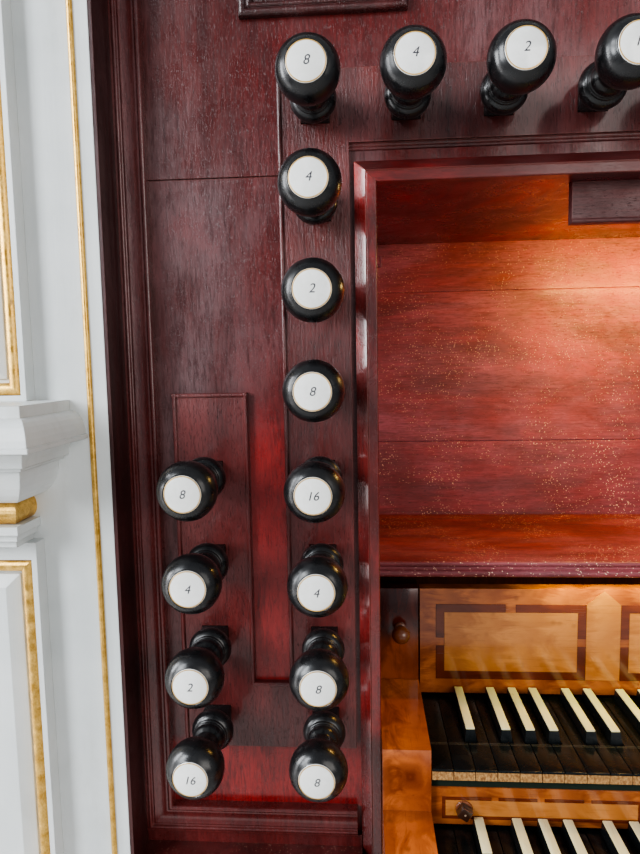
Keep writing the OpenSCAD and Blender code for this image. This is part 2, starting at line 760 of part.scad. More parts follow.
// Key bed with the slip, and the frames that carry the keys
module key_bed() color(mahogany) {
    low = ledge_z - bed_t;
    slip_back = slip_y + slip_t;
    along_x(-niche_x, niche_x)
        polygon([[slip_y, low], [cleat_y, low], [cleat_y, ledge_z], [slip_back, ledge_z],
            [slip_back, lower_key_z - 8], [slip_y, lower_key_z - 8]]);
    block(-cheek_x, cheek_x, lower_front_y + 20, lower_board_y + tail_l, ledge_z - 5, lower_key_z - key_t);
    block(-cheek_x - fit, cheek_x + fit, lower_board_y + nameboard_t, cleat_y, lower_key_z + 8,
        upper_key_z - key_t);
    block(-cheek_x - fit, cheek_x + fit, upper_front_y + 8, lower_board_y + nameboard_t + 5, rail_top,
        rail_top + 5);
}

// Panelled front between the skirting and the ledge, with the ledge's boards
module base_panels() color(mahogany) {
    low = ledge_z - bed_t;
    y = face_y + 14;
    rail = 70;
    bays = [[-open_x, -frame_x], [-frame_x, frame_x], [frame_x, open_x]];
    block(-open_x, open_x, y, y + panel_t, plinth_h, low);
    for (b = bays) translate([(b[0] + b[1]) / 2, y, (plinth_h + low) / 2]) {
        w = b[1] - b[0];
        h = low - plinth_h;
        mitred_frame(w, h, rail) translate([0, -1]) square([rail, 7]);
        translate([0, 1, 0]) raised_field(w - 2 * rail - 8, h - 2 * rail - 8, 7, 24);
    }
    pair() block(frame_x, open_x, face_y + 1, field_y + panel_t, low - 5, ledge_z);
}

// A turned drawknob that stands out of the stop board along -Y, with its square shank
module drawknob() rotate([90, 0, 0]) {
    r = ball_d / 2;
    brow_r = 20;
    face_h = 2.3;
    face_r = 100;
    ball = knob_l - 20;
    hidden_l = knob_travel + panel_t + board_proud + 2;
    // Bell, two rings and cap in front of the square, as [depth below the bell, height, radius]
    beads = [[11, 11, 11], [7, 21.5, 2], [7.2, 25, 1.5], [16, 27, 9.5]];
    color(lacquer) {
        translate([-shank_w / 2, -shank_w / 2, -hidden_l]) cube([shank_w, shank_w, hidden_l + shank_out + 4]);
        rotate_extrude() intersection() {
            square([r + 1, knob_l - face_h]);
            union() {
                square([neck_d / 2, knob_l]);
                for (b = beads) translate([bell_d / 2 - b[0], shank_out + b[1]]) circle(b[2]);
                translate([r - brow_r, ball]) circle(brow_r);
                translate([0, ball]) intersection() {
                    circle(r);
                    translate([0, -r]) square(r);
                }
            }
        }
    }
    color(porcelain) rotate_extrude() intersection() {
        translate([0, knob_l - face_h - 1]) square([face_d / 2, face_h + 1]);
        translate([0, knob_l - face_r]) circle(face_r);
    }
}

// Drawknobs of the left side: up the strip and the column, and along the row from its corner
module strip_knob(i) translate([-strip_x, panel_y, knob_z + i * knob_pitch]) drawknob();
module column_knob(i) translate([-column_x, panel_y, knob_z + i * knob_pitch]) drawknob();
module row_knob(i) translate([-strip_x + i * row_pitch, panel_y, row_z]) drawknob();

// Drawknobs of the right side, and the two in the middle of the row
module mirror_drawknobs() {
    row_knob(row_knobs - 1);
    mirror([1, 0, 0]) {
        for (i = [0:row_knobs - 1]) row_knob(i);
        for (i = [0:strip_knobs - 1]) strip_knob(i);
        for (i = [0:column_knobs - 1]) column_knob(i);
    }
}

// Movable drawknobs, numbered from the top down and from the corner to the right
module knob_corner() row_knob(0);
module knob_top_1() row_knob(1);
module knob_top_2() row_knob(2);
module knob_top_3() row_knob(3);
module knob_strip_1() strip_knob(strip_knobs - 1);
module knob_strip_2() strip_knob(strip_knobs - 2);
module knob_strip_3() strip_knob(strip_knobs - 3);
module knob_strip_4() strip_knob(strip_knobs - 4);
module knob_strip_5() strip_knob(strip_knobs - 5);
module knob_strip_6() strip_knob(strip_knobs - 6);
module knob_strip_7() strip_knob(strip_knobs - 7);
module knob_column_1() column_knob(column_knobs - 1);
module knob_column_2() column_knob(column_knobs - 2);
module knob_column_3() column_knob(column_knobs - 3);
module knob_column_4() column_knob(column_knobs - 4);

plinth();
side_walls();
back_boards();
cornice();
case_frame();
lower_pilasters();
upper_pilasters();
corbels();
gilding();
reveal_boards();
surround_moulding();
front_panels();
raised_panels();
stop_boards();
niche_frame();
niche_lining();
music_desk();
desk_ledge();
lamp_board();
nameboard();
light_inlay();
dark_inlay();
end_blocks();
key_cheeks();
natural_keys();
sharp_keys();
manual_rail();
key_bed();
base_panels();
mirror_drawknobs();
knob_corner();
knob_top_1();
knob_top_2();
knob_top_3();
knob_strip_1();
knob_strip_2();
knob_strip_3();
knob_strip_4();
knob_strip_5();
knob_strip_6();
knob_strip_7();
knob_column_1();
knob_column_2();
knob_column_3();
knob_column_4();
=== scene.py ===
"""Looks of the pipe organ console: its finishes, its keys and drawknobs, the light and the camera."""

import logging
import math
from dataclasses import dataclass, field
from enum import Enum
from functools import cached_property, reduce
from typing import Iterable, Optional, Sequence, Union

import bmesh
import bpy
from mathutils import Euler, Matrix, Vector

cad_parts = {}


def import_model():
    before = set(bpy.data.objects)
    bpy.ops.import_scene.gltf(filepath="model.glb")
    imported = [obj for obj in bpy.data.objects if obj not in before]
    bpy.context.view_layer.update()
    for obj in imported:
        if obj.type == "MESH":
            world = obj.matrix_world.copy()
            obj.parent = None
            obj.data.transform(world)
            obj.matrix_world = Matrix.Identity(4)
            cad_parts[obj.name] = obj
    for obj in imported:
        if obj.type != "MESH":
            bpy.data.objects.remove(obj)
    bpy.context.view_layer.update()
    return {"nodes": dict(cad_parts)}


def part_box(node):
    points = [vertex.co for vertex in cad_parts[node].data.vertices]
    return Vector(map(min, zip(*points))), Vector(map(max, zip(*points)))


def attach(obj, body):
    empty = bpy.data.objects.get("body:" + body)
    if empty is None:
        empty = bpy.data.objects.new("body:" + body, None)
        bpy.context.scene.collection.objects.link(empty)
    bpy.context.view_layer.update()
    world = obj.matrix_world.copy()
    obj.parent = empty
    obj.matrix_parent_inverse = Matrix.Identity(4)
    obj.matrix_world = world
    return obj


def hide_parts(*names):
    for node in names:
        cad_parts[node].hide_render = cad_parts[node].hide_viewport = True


LOG = logging.getLogger("console")
MM = 0.001
SMOOTH_UNDER = 0.6  # edges flatter than this angle, in radians, are shaded smooth
OUTWARD = Matrix.Rotation(math.pi / 2, 4, "X")  # turns z out of the console, along -Y
Colour = tuple[float, float, float]
Point = tuple[float, float, float]
Outline = Sequence[tuple[float, float]]
Value = Union["Sock", float]


class Grain(Enum):
    """The way a board's grain runs, as how much its pattern is drawn out along X, Y and Z."""

    ACROSS = (0.045, 1.0, 1.0)
    DEEP = (1.0, 0.045, 1.0)
    UPRIGHT = (1.0, 1.0, 0.045)

    def eased(self, share: float) -> tuple[float, ...]:
        """The same stretch, with a share of it given back."""
        return tuple(share + (1 - share) * a for a in self.value)


class Sock:
    """A shader socket, or a point or colour, that expressions can be written with."""

    def __init__(self, shader: "Shader", out: bpy.types.NodeSocket) -> None:
        """Keeps one output of a node, and the material that it is in."""
        self.shader = shader
        self.out = out

    def _math(self, operation: str, *values: Value) -> "Sock":
        """One Math node, with its inputs in order."""
        return self.shader.out("Math", 0, dict(enumerate(values)), operation=operation)

    def __add__(self, other: Value) -> "Sock":
        """self + other."""
        return self._math("ADD", self, other)

    def __sub__(self, other: Value) -> "Sock":
        """self - other."""
        return self._math("SUBTRACT", self, other)

    def __rsub__(self, other: Value) -> "Sock":
        """other - self."""
        return self._math("SUBTRACT", other, self)

    def __mul__(self, other: Value) -> "Sock":
        """self * other."""
        return self._math("MULTIPLY", self, other)

    __radd__ = __add__
    __rmul__ = __mul__

    def top(self, other: Value) -> "Sock":
        """The larger of two values."""
        return self._math("MAXIMUM", self, other)

    def wave(self) -> "Sock":
        """The value's sine."""
        return self._math("SINE", self)

    def size(self) -> "Sock":
        """The value without its sign."""
        return self._math("ABSOLUTE", self)

    def root(self) -> "Sock":
        """The value's square root."""
        return self._math("SQRT", self)

    def span(self, low: float, high: float) -> "Sock":
        """The value's smooth step from 0 at low to 1 at high."""
        ends = {"Value": self, "From Min": low, "From Max": high}
        return self.shader.out("MapRange", "Result", ends, interpolation_type="SMOOTHSTEP")


class Shader:
    """A material that is written with sockets."""

    def __init__(self, name: str) -> None:
        """Starts an empty material.

        Args:
            name: the material's name.
        """
        self.material = bpy.data.materials.new(name)
        self.material.use_nodes = True
        self.tree = self.material.node_tree
        self.tree.nodes.clear()

    def node(self, kind: str, inputs: dict, **settings: object) -> bpy.types.Node:
        """Adds a node, sets it, then fills its inputs.

        Args:
            kind: the node's type, after ShaderNode.
            inputs: a value or a Sock for each input, by name or number.
            settings: its own settings; stops are a ramp's places and colours.

        Returns:
            The node.
        """
        made = self.tree.nodes.new(f"ShaderNode{kind}")
        for name, value in settings.items():
            if name == "stops":
                ramp = made.color_ramp
                while len(ramp.elements) < len(value):
                    ramp.elements.new(0.5)
                for element, (place, colour) in zip(ramp.elements, value):
                    element.position, element.color = place, (*colour, 1)
            else:
                setattr(made, name, value)
        for name, value in inputs.items():
            if isinstance(value, Sock):
                self.tree.links.new(value.out, made.inputs[name])
            elif isinstance(value, tuple) and made.inputs[name].type == "RGBA":
                made.inputs[name].default_value = (*value, 1)
            else:
                made.inputs[name].default_value = value
        return made

    def out(self, kind: str, output: Union[str, int], inputs: dict, **settings: object) -> Sock:
        """Adds a node as above, and gives one of its outputs."""
        return Sock(self, self.node(kind, inputs, **settings).outputs[output])

    def point(self, stretch: Sequence[float] = (1, 1, 1), shift: Sequence[float] = (0, 0, 0)) -> Sock:
        """The point on the piece, in metres, stretched along each axis and then shifted."""
        inputs = {0: self.out("TexCoord", "Object", {}), 1: tuple(stretch), 2: tuple(shift)}
        return self.out("VectorMath", 0, inputs, operation="MULTIPLY_ADD")

    def axis(self, point: Sock, letter: str) -> Sock:
        """One coordinate of a point."""
        return self.out("SeparateXYZ", letter, {0: point})

    def noise(
        self, point: Sock, scale: float, detail: float = 4, rough: float = 0.55, twist: float = 0
    ) -> Sock:
        """Cloudy noise from 0 to 1: its scale per metre, its finer layers, their strength, and its bend."""
        inputs = {"Vector": point, "Scale": scale, "Detail": detail, "Roughness": rough, "Distortion": twist}
        return self.out("TexNoise", "Fac", inputs)

    def cells(self, point: Sock, scale: float) -> Sock:
        """Distance to the nearest of scattered points, in cells."""
        return self.out("TexVoronoi", "Distance", {"Vector": point, "Scale": scale})

    def ramp(self, value: Sock, stops: Sequence[tuple[float, Colour]]) -> Sock:
        """A colour for each value from 0 to 1, by places and their colours in order."""
        return self.out("ValToRGB", "Color", {"Fac": value}, stops=stops)

    def mix(self, share: Value, first: Union[Sock, Colour], second: Union[Sock, Colour]) -> Sock:
        """Two colours mixed: a share of 0 gives the first and 1 the second."""
        return self.out("Mix", 2, {0: share, 6: first, 7: second}, data_type="RGBA")

    def normal(self) -> Sock:
        """The piece's own normal, before any bump."""
        return self.out("NewGeometry", "Normal", {})

    def rounded(self, radius: float) -> Sock:
        """A normal that rounds sharp edges off by a radius."""
        return self.out("Bevel", 0, {"Radius": radius}, samples=4)

    def edge(self, radius: float) -> Sock:
        """A mask of sharp edges within a radius, from 0 on flats towards 1 on corners."""
        ends = {0: self.rounded(radius), 1: self.normal()}
        return (1 - self.out("VectorMath", "Value", ends, operation="DOT_PRODUCT")) * 3.0

    def bump(self, height: Sock, depth: float, normal: Optional[Sock] = None) -> Sock:
        """A normal that follows a height from 0 to 1, so many metres deep, over another normal if given."""
        under = {"Normal": normal} if normal else {}
        return self.out("Bump", 0, {"Height": height, "Strength": 1.0, "Distance": depth, **under})

    def surface(self, **inputs: Union[Sock, float, Colour]) -> bpy.types.Material:
        """Ends the material with its surface.

        Args:
            inputs: the surface's inputs, with _ for each space.

        Returns:
            The material.
        """
        named = {name.replace("_", " ").replace("Ior", "IOR"): value for name, value in inputs.items()}
        self.node("OutputMaterial", {"Surface": self.out("BsdfPrincipled", 0, named)})
        return self.material


@dataclass(frozen=True)
class Varnish:
    """Red-brown stained wood under an old glossy varnish, veiled grey in places and redder in others.

    Attributes:
        veil: the share of the grey veil.
        specks: the share of bright specks.
        relief: the depth of the grain, in millimetres.
        red_x: the sides of a redder strip, as distances from the middle, if it has one.
        red_z: the strip's heights.
        red_foot: the height that the wood is redder below.
        rubbed: the share of wear on its edges.
    """

    name: str
    grain: Grain = Grain.UPRIGHT
    shade: float = 1.0
    veil: float = 0.5
    red: float = 0.3
    rough: float = 0.26
    specks: float = 0.0
    coat: float = 0.3
    relief: float = 0.5
    tint: Colour = (1.0, 1.0, 1.0)
    red_x: tuple[float, float] = (0.0, 0.0)
    red_z: tuple[float, float] = (0.0, 0.0)
    red_foot: float = 0.0
    rubbed: float = 0.45

    def tone(self, colour: Colour) -> Colour:
        """A colour in this board's shade."""
        return tuple(self.shade * t * c for t, c in zip(self.tint, colour))

    def redness(self, s: Shader, cloud: Sock) -> Sock:
        """Where the stain is redder: in clouds, and in a strip at each side if one is set.

        Args:
            s: the material.
            cloud: broad noise.

        Returns:
            A mask.
        """
        spots = cloud.span(0.50, 0.72) * self.red
        if not self.red_x[1]:
            return spots
        side, up = s.axis(s.point(), "X").size(), s.axis(s.point(), "Z")
        (x0, x1), (z0, z1) = self.red_x, self.red_z
        strip = side.span(x0 - 0.004, x0) * (1 - side.span(x1, x1 + 0.004))
        strip = strip * up.span(z0 - 0.02, z0) * (1 - up.span(z1 - 0.08, z1 + 0.04))
        low = 1 - up.span(self.red_foot - 0.01, self.red_foot + 0.01)
        inner = (1 - side.span(x0 + 0.01, x1 + 0.05)) * 0.3
        return spots.top(strip * (0.55 + 0.45 * cloud.span(0.35, 0.6))).top(low).top(inner)

    def dust(self, s: Shader) -> Sock:
        """Bright specks and short scratches, in clusters.

        Args:
            s: the material.

        Returns:
            A mask.
        """
        spray = s.noise(s.point((1, 1, 1), (0.3, 0, 0.7)), 9, 4, 0.6).span(0.42, 0.58)
        dots = 1 - s.cells(s.point(), 240).span(0.13, 0.20)
        thread = 1 - (s.noise(s.point(), 120, 2, 0.5) - 0.5).size().span(0.006, 0.014)
        short = s.noise(s.point((1, 1, 1), (1.7, 0.2, 0.9)), 300, 2).span(0.60, 0.63)
        near = 1 - s.axis(s.point(), "Z").span(1.13, 1.36) * 0.6
        return (dots.top(thread * short) * spray) * near * self.specks

    @cached_property
    def material(self) -> bpy.types.Material:
        """Makes the finish, once.

        Returns:
            Its material.
        """
        s = Shader(self.name)
        broad, long = s.point(self.grain.eased(0.4)), s.point(self.grain.eased(0.07))
        cloud = s.noise(broad, 6.5, 4, 0.55, 0.7)
        second = s.noise(s.point(self.grain.eased(0.4), (3.1, 1.7, 0.4)), 9, 5, 0.6, 0.5)
        figure = s.noise(long, 44, 5, 0.6, 0.9)
        grain = s.noise(s.point(self.grain.eased(0.07), (0.9, 0.2, 0.5)), 420, 5, 0.65, 0.8)
        combed = s.noise(s.point(self.grain.value), 330, 4, 0.6, 0.2)
        pores = s.noise(s.point(self.grain.eased(0.1)), 1100, 2, 0.6)
        stops = ((0.36, (0.026, 0.005, 0.005)), (0.48, (0.078, 0.010, 0.009)), (0.60, (0.165, 0.022, 0.019)))
        depth = cloud * 0.50 + figure * 0.24 + grain * 0.14 + combed * 0.12
        wood = s.ramp(depth, [(place, self.tone(colour)) for place, colour in stops])
        stained = (grain * 0.5 + second * 0.5).span(0.38, 0.60)
        stain = s.mix(stained, self.tone((0.10, 0.005, 0.005)), self.tone((0.29, 0.016, 0.014)))
        red = self.redness(s, second)
        redder = s.mix(red, wood, stain)
        misted = (grain + second).span(0.85, 1.15)
        grey = s.mix(misted, self.tone((0.058, 0.035, 0.037)), self.tone((0.165, 0.110, 0.115)))
        haze = 0.45 + 0.55 * s.axis(s.point(), "Z").span(1.05, 1.35)
        veil = (cloud * 0.6 + second * 0.4).span(0.40, 0.62) * haze * (1 - 0.7 * red) * self.veil
        veiled = s.mix(veil, redder, grey)
        sunk = pores.span(0.58, 0.74)
        pored = s.mix(sunk * 0.6, veiled, self.tone((0.010, 0.004, 0.004)))
        worn = (s.edge(2.0 * MM) * (0.4 + second)).span(0.1, 0.9) * self.rubbed
        colour = s.mix(worn, pored, self.tone((0.30, 0.085, 0.062)))
        if self.specks:
            colour = s.mix(self.dust(s), colour, (1.0, 0.66, 0.46))
        smear = s.noise(s.point(), 26, 5, 0.65, 0.5)
        height = grain * 0.45 + figure * 0.35 + smear * 0.2 - sunk * 0.3
        return s.surface(
            Base_Color=colour,
            Roughness=self.rough + 0.2 * smear.span(0.35, 0.75) + 0.14 * pores.span(0.5, 0.8),
            Normal=s.bump(height, self.relief * MM, s.rounded(1.3 * MM)),
            Coat_Weight=self.coat,
            Coat_Roughness=0.12,
            Specular_IOR_Level=0.5,
        )


@dataclass(frozen=True)
class Figured:
    """Polished light wood or veneer with a cloudy, curled figure.

    Attributes:
        burl: the share of dark knots.
        rings: the heart's distance from the middle and its height, if it shows one.
        dark_above: the height that it is darker above, if it is.
    """

    name: str
    dark: Colour
    light: Colour
    grain: Grain = Grain.ACROSS
    curl: float = 1.5
    rough: float = 0.15
    burl: float = 0.0
    rings: tuple[float, float] = (0.0, 0.0)
    dark_above: float = 0.0

    def heart(self, s: Shader) -> Sock:
        """Rings around the heart of the wood, which show on faces to the front.

        Args:
            s: the material.

        Returns:
            A mask of dark rings and a dark heart.
        """
        place = s.point()
        bent = s.noise(place, 30, 3, 0.5)
        out = s.axis(place, "X").size() - self.rings[0]
        up = s.axis(place, "Z") - self.rings[1]
        square = out * out * out * out + up * up * up * up * 0.8
        far = square.root().root() + (bent - 0.5) * 0.010
        rings = (far * 620).wave() * 0.5 + 0.5
        facing = (0 - s.axis(s.normal(), "Y")).span(0.6, 0.9)
        return (rings * 0.22 + (1 - far.span(0.006, 0.016)) * 0.62) * facing * (1 - far.span(0.016, 0.034))

    @cached_property
    def material(self) -> bpy.types.Material:
        """Makes the finish, once.

        Returns:
            Its material.
        """
        s = Shader(self.name)
        figure = s.noise(s.point(self.grain.eased(0.3)), 34, 5, 0.62, self.curl)
        flame = (s.axis(s.point(), "X") * 120 + figure * 12).wave() * 0.5 + 0.5
        fine = s.noise(s.point(self.grain.value), 520, 3, 0.6)
        cloud = s.noise(s.point(), 13, 5, 0.6, 0.8)
        middle = tuple((1.3 * d + b) / 2.3 for d, b in zip(self.dark, self.light))
        darker = tuple(0.35 * d for d in self.dark)
        wood = s.ramp(
            figure * 0.45 + flame * 0.10 + cloud * 0.45,
            [(0.34, self.dark), (0.50, middle), (0.66, self.light)],
        )
        knots = (1 - s.cells(s.point(), 55).span(0.04, 0.30)) * cloud.span(0.42, 0.62)
        knotted = s.mix(knots * self.burl, wood, darker)
        pored = s.mix(fine.span(0.55, 0.75) * 0.4, knotted, tuple(0.55 * d for d in self.dark))
        if self.rings[0]:
            pored = s.mix(self.heart(s), pored, (0.085, 0.008, 0.004))
        # darker above dark_above, with a cloudy edge about 24 mm wide
        if self.dark_above:
            height = s.axis(s.point(), "Z") + (cloud - 0.5) * 0.03
            top = height.span(self.dark_above - 12 * MM, self.dark_above + 12 * MM)
            stained = s.mix(figure.span(0.4, 0.6), (0.034, 0.005, 0.003), (0.090, 0.013, 0.006))
            pored = s.mix(top, pored, stained)
        colour = s.mix(s.edge(1.6 * MM).span(0.1, 0.9) * 0.4, pored, darker)
        return s.surface(
            Base_Color=colour,
            Roughness=self.rough + 0.12 * cloud.span(0.4, 0.7) + 0.08 * fine.span(0.5, 0.8),
            Normal=s.bump(fine * 0.5 + figure * 0.5, 0.06 * MM, s.rounded(1.0 * MM)),
            Coat_Weight=0.4,
            Coat_Roughness=0.09,
        )


@dataclass(frozen=True)
class WhitePaint:
    """Old white oil paint on wood, brushed, a little grey in its corners."""

    name: str = "old_white_paint"

    @cached_property
    def material(self) -> bpy.types.Material:
        """Makes the finish, once.

        Returns:
            Its material.
        """
        s = Shader(self.name)
        brush = s.noise(s.point(Grain.UPRIGHT.value), 300, 4, 0.6)
        cloud = s.noise(s.point(), 5, 5, 0.6, 0.3)
        grime = s.noise(s.point((1, 1, 0.4)), 22, 6, 0.65)
        paint = s.ramp(cloud, [(0.35, (0.60, 0.63, 0.63)), (0.65, (0.72, 0.74, 0.735))])
        stained = s.mix(grime.span(0.52, 0.8) * 0.35, paint, (0.47, 0.47, 0.43))
        worn = s.edge(2.5 * MM).span(0.15, 1.0) * grime.span(0.45, 0.6) * 0.55
        rubbed = s.mix(worn, stained, (0.42, 0.40, 0.35))
        return s.surface(
            Base_Color=rubbed,
            Roughness=0.36 + 0.2 * grime.span(0.4, 0.7),
            Normal=s.bump(brush * 0.7 + cloud * 0.3, 0.2 * MM, s.rounded(1.5 * MM)),
        )


@dataclass(frozen=True)
class GoldLeaf:
    """Leaf gilding, rubbed through to its warm ground in places."""

    name: str = "leaf_gilding"

    @cached_property
    def material(self) -> bpy.types.Material:
        """Makes the finish, once.

        Returns:
            Its material.
        """
        s = Shader(self.name)
        leaf = s.noise(s.point(), 90, 5, 0.6)
        wear = s.noise(s.point((1, 1, 0.3)), 160, 6, 0.7)
        crinkle = s.noise(s.point((1, 1, 0.6)), 620, 3, 0.7)
        shade = leaf * 0.6 + crinkle * 0.4
        tone = s.ramp(shade, [(0.36, (0.52, 0.27, 0.05)), (0.64, (0.92, 0.62, 0.20))])
        bare = (wear + s.edge(1.5 * MM) * 0.25).span(0.64, 0.74)
        return s.surface(
            Base_Color=s.mix(bare, tone, (0.36, 0.20, 0.08)),
            Metallic=0.95 - 0.9 * bare,
            Roughness=0.28 + 0.3 * leaf.span(0.3, 0.8),
            Normal=s.bump(leaf * 0.3 + wear * 0.3 + crinkle * 0.4, 0.35 * MM),
        )


@dataclass(frozen=True)
class Lacquer:
    """Black lacquer on turned wood, with fine rubbing and dust; its lighter rubbed tone is also a painted
    soft sheen.
    """

    name: str
    tone: Colour = (0.008, 0.008, 0.009)
    # rubbed: the lighter tone of worn lacquer, which also stands in for a soft sheen: painted sheen
    rubbed: Colour = (0.022, 0.019, 0.015)
    rough: float = 0.25
    wear: float = 0.8
    coat: float = 0.15
    sheen: float = 0.5
    lines: tuple[float, ...] = ()

    def scribed(self, s: Shader) -> Sock:
        """The lines that are scribed across the keys, each at its distance along Y.

        Args:
            s: the material.

        Returns:
            A mask.
        """
        along = s.axis(s.point(), "Y")
        return reduce(Sock.top, (1 - (along - line).size().span(0.25 * MM, 0.55 * MM) for line in self.lines))

    @cached_property
    def material(self) -> bpy.types.Material:
        """Makes the finish, once.

        Returns:
            Its material.
        """
        s = Shader(self.name)
        smear = s.noise(s.point(), 60, 5, 0.6, 0.4)
        dust = s.noise(s.point(), 900, 3, 0.7)
        rim = s.edge(1.2 * MM)
        # lighter rubbed tone in smears and on sharp rims: worn lacquer, and painted soft sheen
        worn = (smear * 0.6 + rim * 0.35).span(0.36, 0.72) * self.wear
        colour, height = s.mix(worn, self.tone, self.rubbed), smear * 0.1 + dust * 0.1
        if self.lines:
            scribed = self.scribed(s)
            colour = s.mix(scribed * 0.8, colour, (0.11, 0.10, 0.09))
            height = height - scribed
        return s.surface(
            Base_Color=colour,
            Roughness=self.rough + 0.2 * smear.span(0.4, 0.75) + 0.1 * dust.span(0.55, 0.75),
            Normal=s.bump(height, 0.25 * MM),
            Coat_Weight=self.coat,
            Coat_Roughness=0.16,
            Specular_IOR_Level=self.sheen,
        )


@dataclass(frozen=True)
class Smooth:
    """A smooth finish with a slight mottle: porcelain, bone, raw wood, felt or ink."""

    name: str
    base: Colour
    deep: Colour
    rough: float
    scale: float = 60.0
    stretch: tuple[float, float, float] = (1.0, 1.0, 1.0)
    depth: float = 0.03
    coat: float = 0.0
    metallic: float = 0.0

    @cached_property
    def material(self) -> bpy.types.Material:
        """Makes the finish, once.

        Returns:
            Its material.
        """
        s = Shader(self.name)
        mottle = s.noise(s.point(self.stretch), self.scale, 5, 0.6, 0.2)
        fine = s.noise(s.point(self.stretch), 8 * self.scale, 3, 0.6)
        return s.surface(
            Base_Color=s.mix((mottle * 0.7 + fine * 0.3).span(0.36, 0.66), self.deep, self.base),
            Roughness=self.rough + 0.12 * mottle.span(0.35, 0.7),
            Normal=s.bump(fine * 0.6 + mottle * 0.4, self.depth * MM),
            Coat_Weight=self.coat,
            Coat_Roughness=0.06,
            Metallic=self.metallic,
        )


def link(name: str, data: bpy.types.ID) -> bpy.types.Object:
    """Puts a new object with some data into the scene.

    Args:
        name: the object's name.
        data: its mesh, light, text or camera.

    Returns:
        The object.
    """
    made = bpy.data.objects.new(name, data)
    bpy.context.scene.collection.objects.link(made)
    return made


Finish = Union[Varnish, Figured, WhitePaint, GoldLeaf, Lacquer, Smooth]


class Shape:
    """A mesh that is put together from turned and drawn forms."""

    def __init__(self, name: str) -> None:
        """Starts an empty mesh.

        Args:
            name: the piece's name.
        """
        self.name = name
        self.mesh = bmesh.new()

    def take(self, made: bmesh.types.BMesh, matrix: Matrix = Matrix()) -> None:
        """Adds another mesh.

        Args:
            made: the mesh, which is used up.
            matrix: where it goes.
        """
        bmesh.ops.transform(made, matrix=matrix, verts=made.verts)
        held = bpy.data.meshes.new("held")
        made.to_mesh(held)
        made.free()
        self.mesh.from_mesh(held)
        bpy.data.meshes.remove(held)

    def prism(
        self, outline: Outline, low: float, high: float, bevel: float, matrix: Matrix = Matrix()
    ) -> None:
        """Adds an outline drawn up from low to high, with its edges rounded.

        Args:
            outline: points (x, y), anticlockwise.
            low: the lower z.
            high: the upper z.
            bevel: the radius of its edges.
            matrix: where it goes.
        """
        made = bmesh.new()
        face = made.faces.new([made.verts.new((x, y, low)) for x, y in outline])
        drawn = bmesh.ops.extrude_face_region(made, geom=[face])
        moved = [v for v in drawn["geom"] if isinstance(v, bmesh.types.BMVert)]
        bmesh.ops.translate(made, verts=moved, vec=(0, 0, high - low))
        bmesh.ops.recalc_face_normals(made, faces=made.faces)
        if bevel:
            bmesh.ops.bevel(made, geom=made.edges[:], offset=bevel, segments=2, profile=0.5, affect="EDGES")
        self.take(made, matrix)

    def block(self, low: Point, high: Point, bevel: float, matrix: Matrix = Matrix()) -> None:
        """Adds a box between its lowest and highest corners, with its edges rounded."""
        (x0, y0, z0), (x1, y1, z1) = low, high
        self.prism([(x0, y0), (x1, y0), (x1, y1), (x0, y1)], z0, z1, bevel, matrix)

    def skin(self, rows: Sequence[Sequence[Point]]) -> None:
        """Adds a solid between two or more like outlines.

        Args:
            rows: the outlines, from one end to the other.
        """
        made = bmesh.new()
        rings = [[made.verts.new(point) for point in row] for row in rows]
        for one, two in zip(rings, rings[1:]):
            for i, corner in enumerate(one):
                made.faces.new([corner, one[i - 1], two[i - 1], two[i]])
        made.faces.new(rings[0])
        made.faces.new(rings[-1])
        bmesh.ops.recalc_face_normals(made, faces=made.faces)
        self.take(made)

    def turned(self, profile: Outline, matrix: Matrix, sides: int = 40) -> None:
        """Adds a form turned around the z axis.

        Args:
            profile: points (radius, height), from one end to the other.
            matrix: where it goes.
            sides: how many sides it has.
        """
        made = bmesh.new()
        rings = []
        for radius, height in profile:
            if not radius:
                rings.append([made.verts.new((0, 0, height))])
                continue
            turns = (2 * math.pi * i / sides for i in range(sides))
            ring = [(radius * math.cos(a), radius * math.sin(a), height) for a in turns]
            rings.append([made.verts.new(point) for point in ring])
        for one, two in zip(rings, rings[1:]):
            for i in range(max(len(one), len(two))):
                j = (i + 1) % sides
                corners = [one[i % len(one)], one[j % len(one)], two[j % len(two)], two[i % len(two)]]
                made.faces.new(list(dict.fromkeys(corners)))
        bmesh.ops.recalc_face_normals(made, faces=made.faces)
        self.take(made, matrix)

    def piece(self, finish: Finish, slot: str, body: str, *nodes: str) -> None:
        """Makes the piece, sets it on the body that it rides on, and hides the solids that it stands for.

        Args:
            finish: its finish.
            slot: the name of a material slot; not used.
            body: the body that it rides on.
            nodes: the solids that it stands for.
        """
        data = bpy.data.meshes.new(self.name)
        self.mesh.to_mesh(data)
        self.mesh.free()
        data.materials.append(finish.material)
        made = link(self.name, data)
        data.shade_smooth()
        data.set_sharp_from_angle(angle=SMOOTH_UNDER)
        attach(made, body)
        if nodes:
            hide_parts(*nodes)
        LOG.info("%s: %d faces on %s", self.name, len(data.polygons), body)


class Dresser:
    """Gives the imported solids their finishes."""

    def __init__(self, nodes: dict[str, bpy.types.Object]) -> None:
        """Keeps the solids by name."""
        self.nodes = nodes

    def dress(self, finish: Finish, *names: str) -> None:
        """Puts one finish on some solids.

        Args:
            finish: the finish.
            names: the solids.
        """
        for name in names:
            data = self.nodes[name].data
            data.materials.clear()
            data.materials.append(finish.material)
            LOG.info("%s wears %s", name, finish.name)


@dataclass
class Case:
    """The white and gilt case around the console."""

    dresser: Dresser

    def build(self) -> None:
        """Dresses the case."""
        dress = self.dresser.dress
        pilasters = ("lower_pilasters", "upper_pilasters", "corbels")
        dress(WhitePaint(), "plinth", "side_walls", "cornice", "case_frame", *pilasters)
        dress(GoldLeaf(), "gilding")
        dress(Varnish("back_deal", shade=0.9, veil=0.7, red=0.1, rough=0.6), "back_boards")
        # the reveal's board is red-brown stain darkened to shade 0.45: painted shade for the shadow that
        # falls in the reveal
        dress(Varnish("reveal_painted_shade", shade=0.45, veil=0.5, red=0.2, rough=0.42), "reveal_boards")


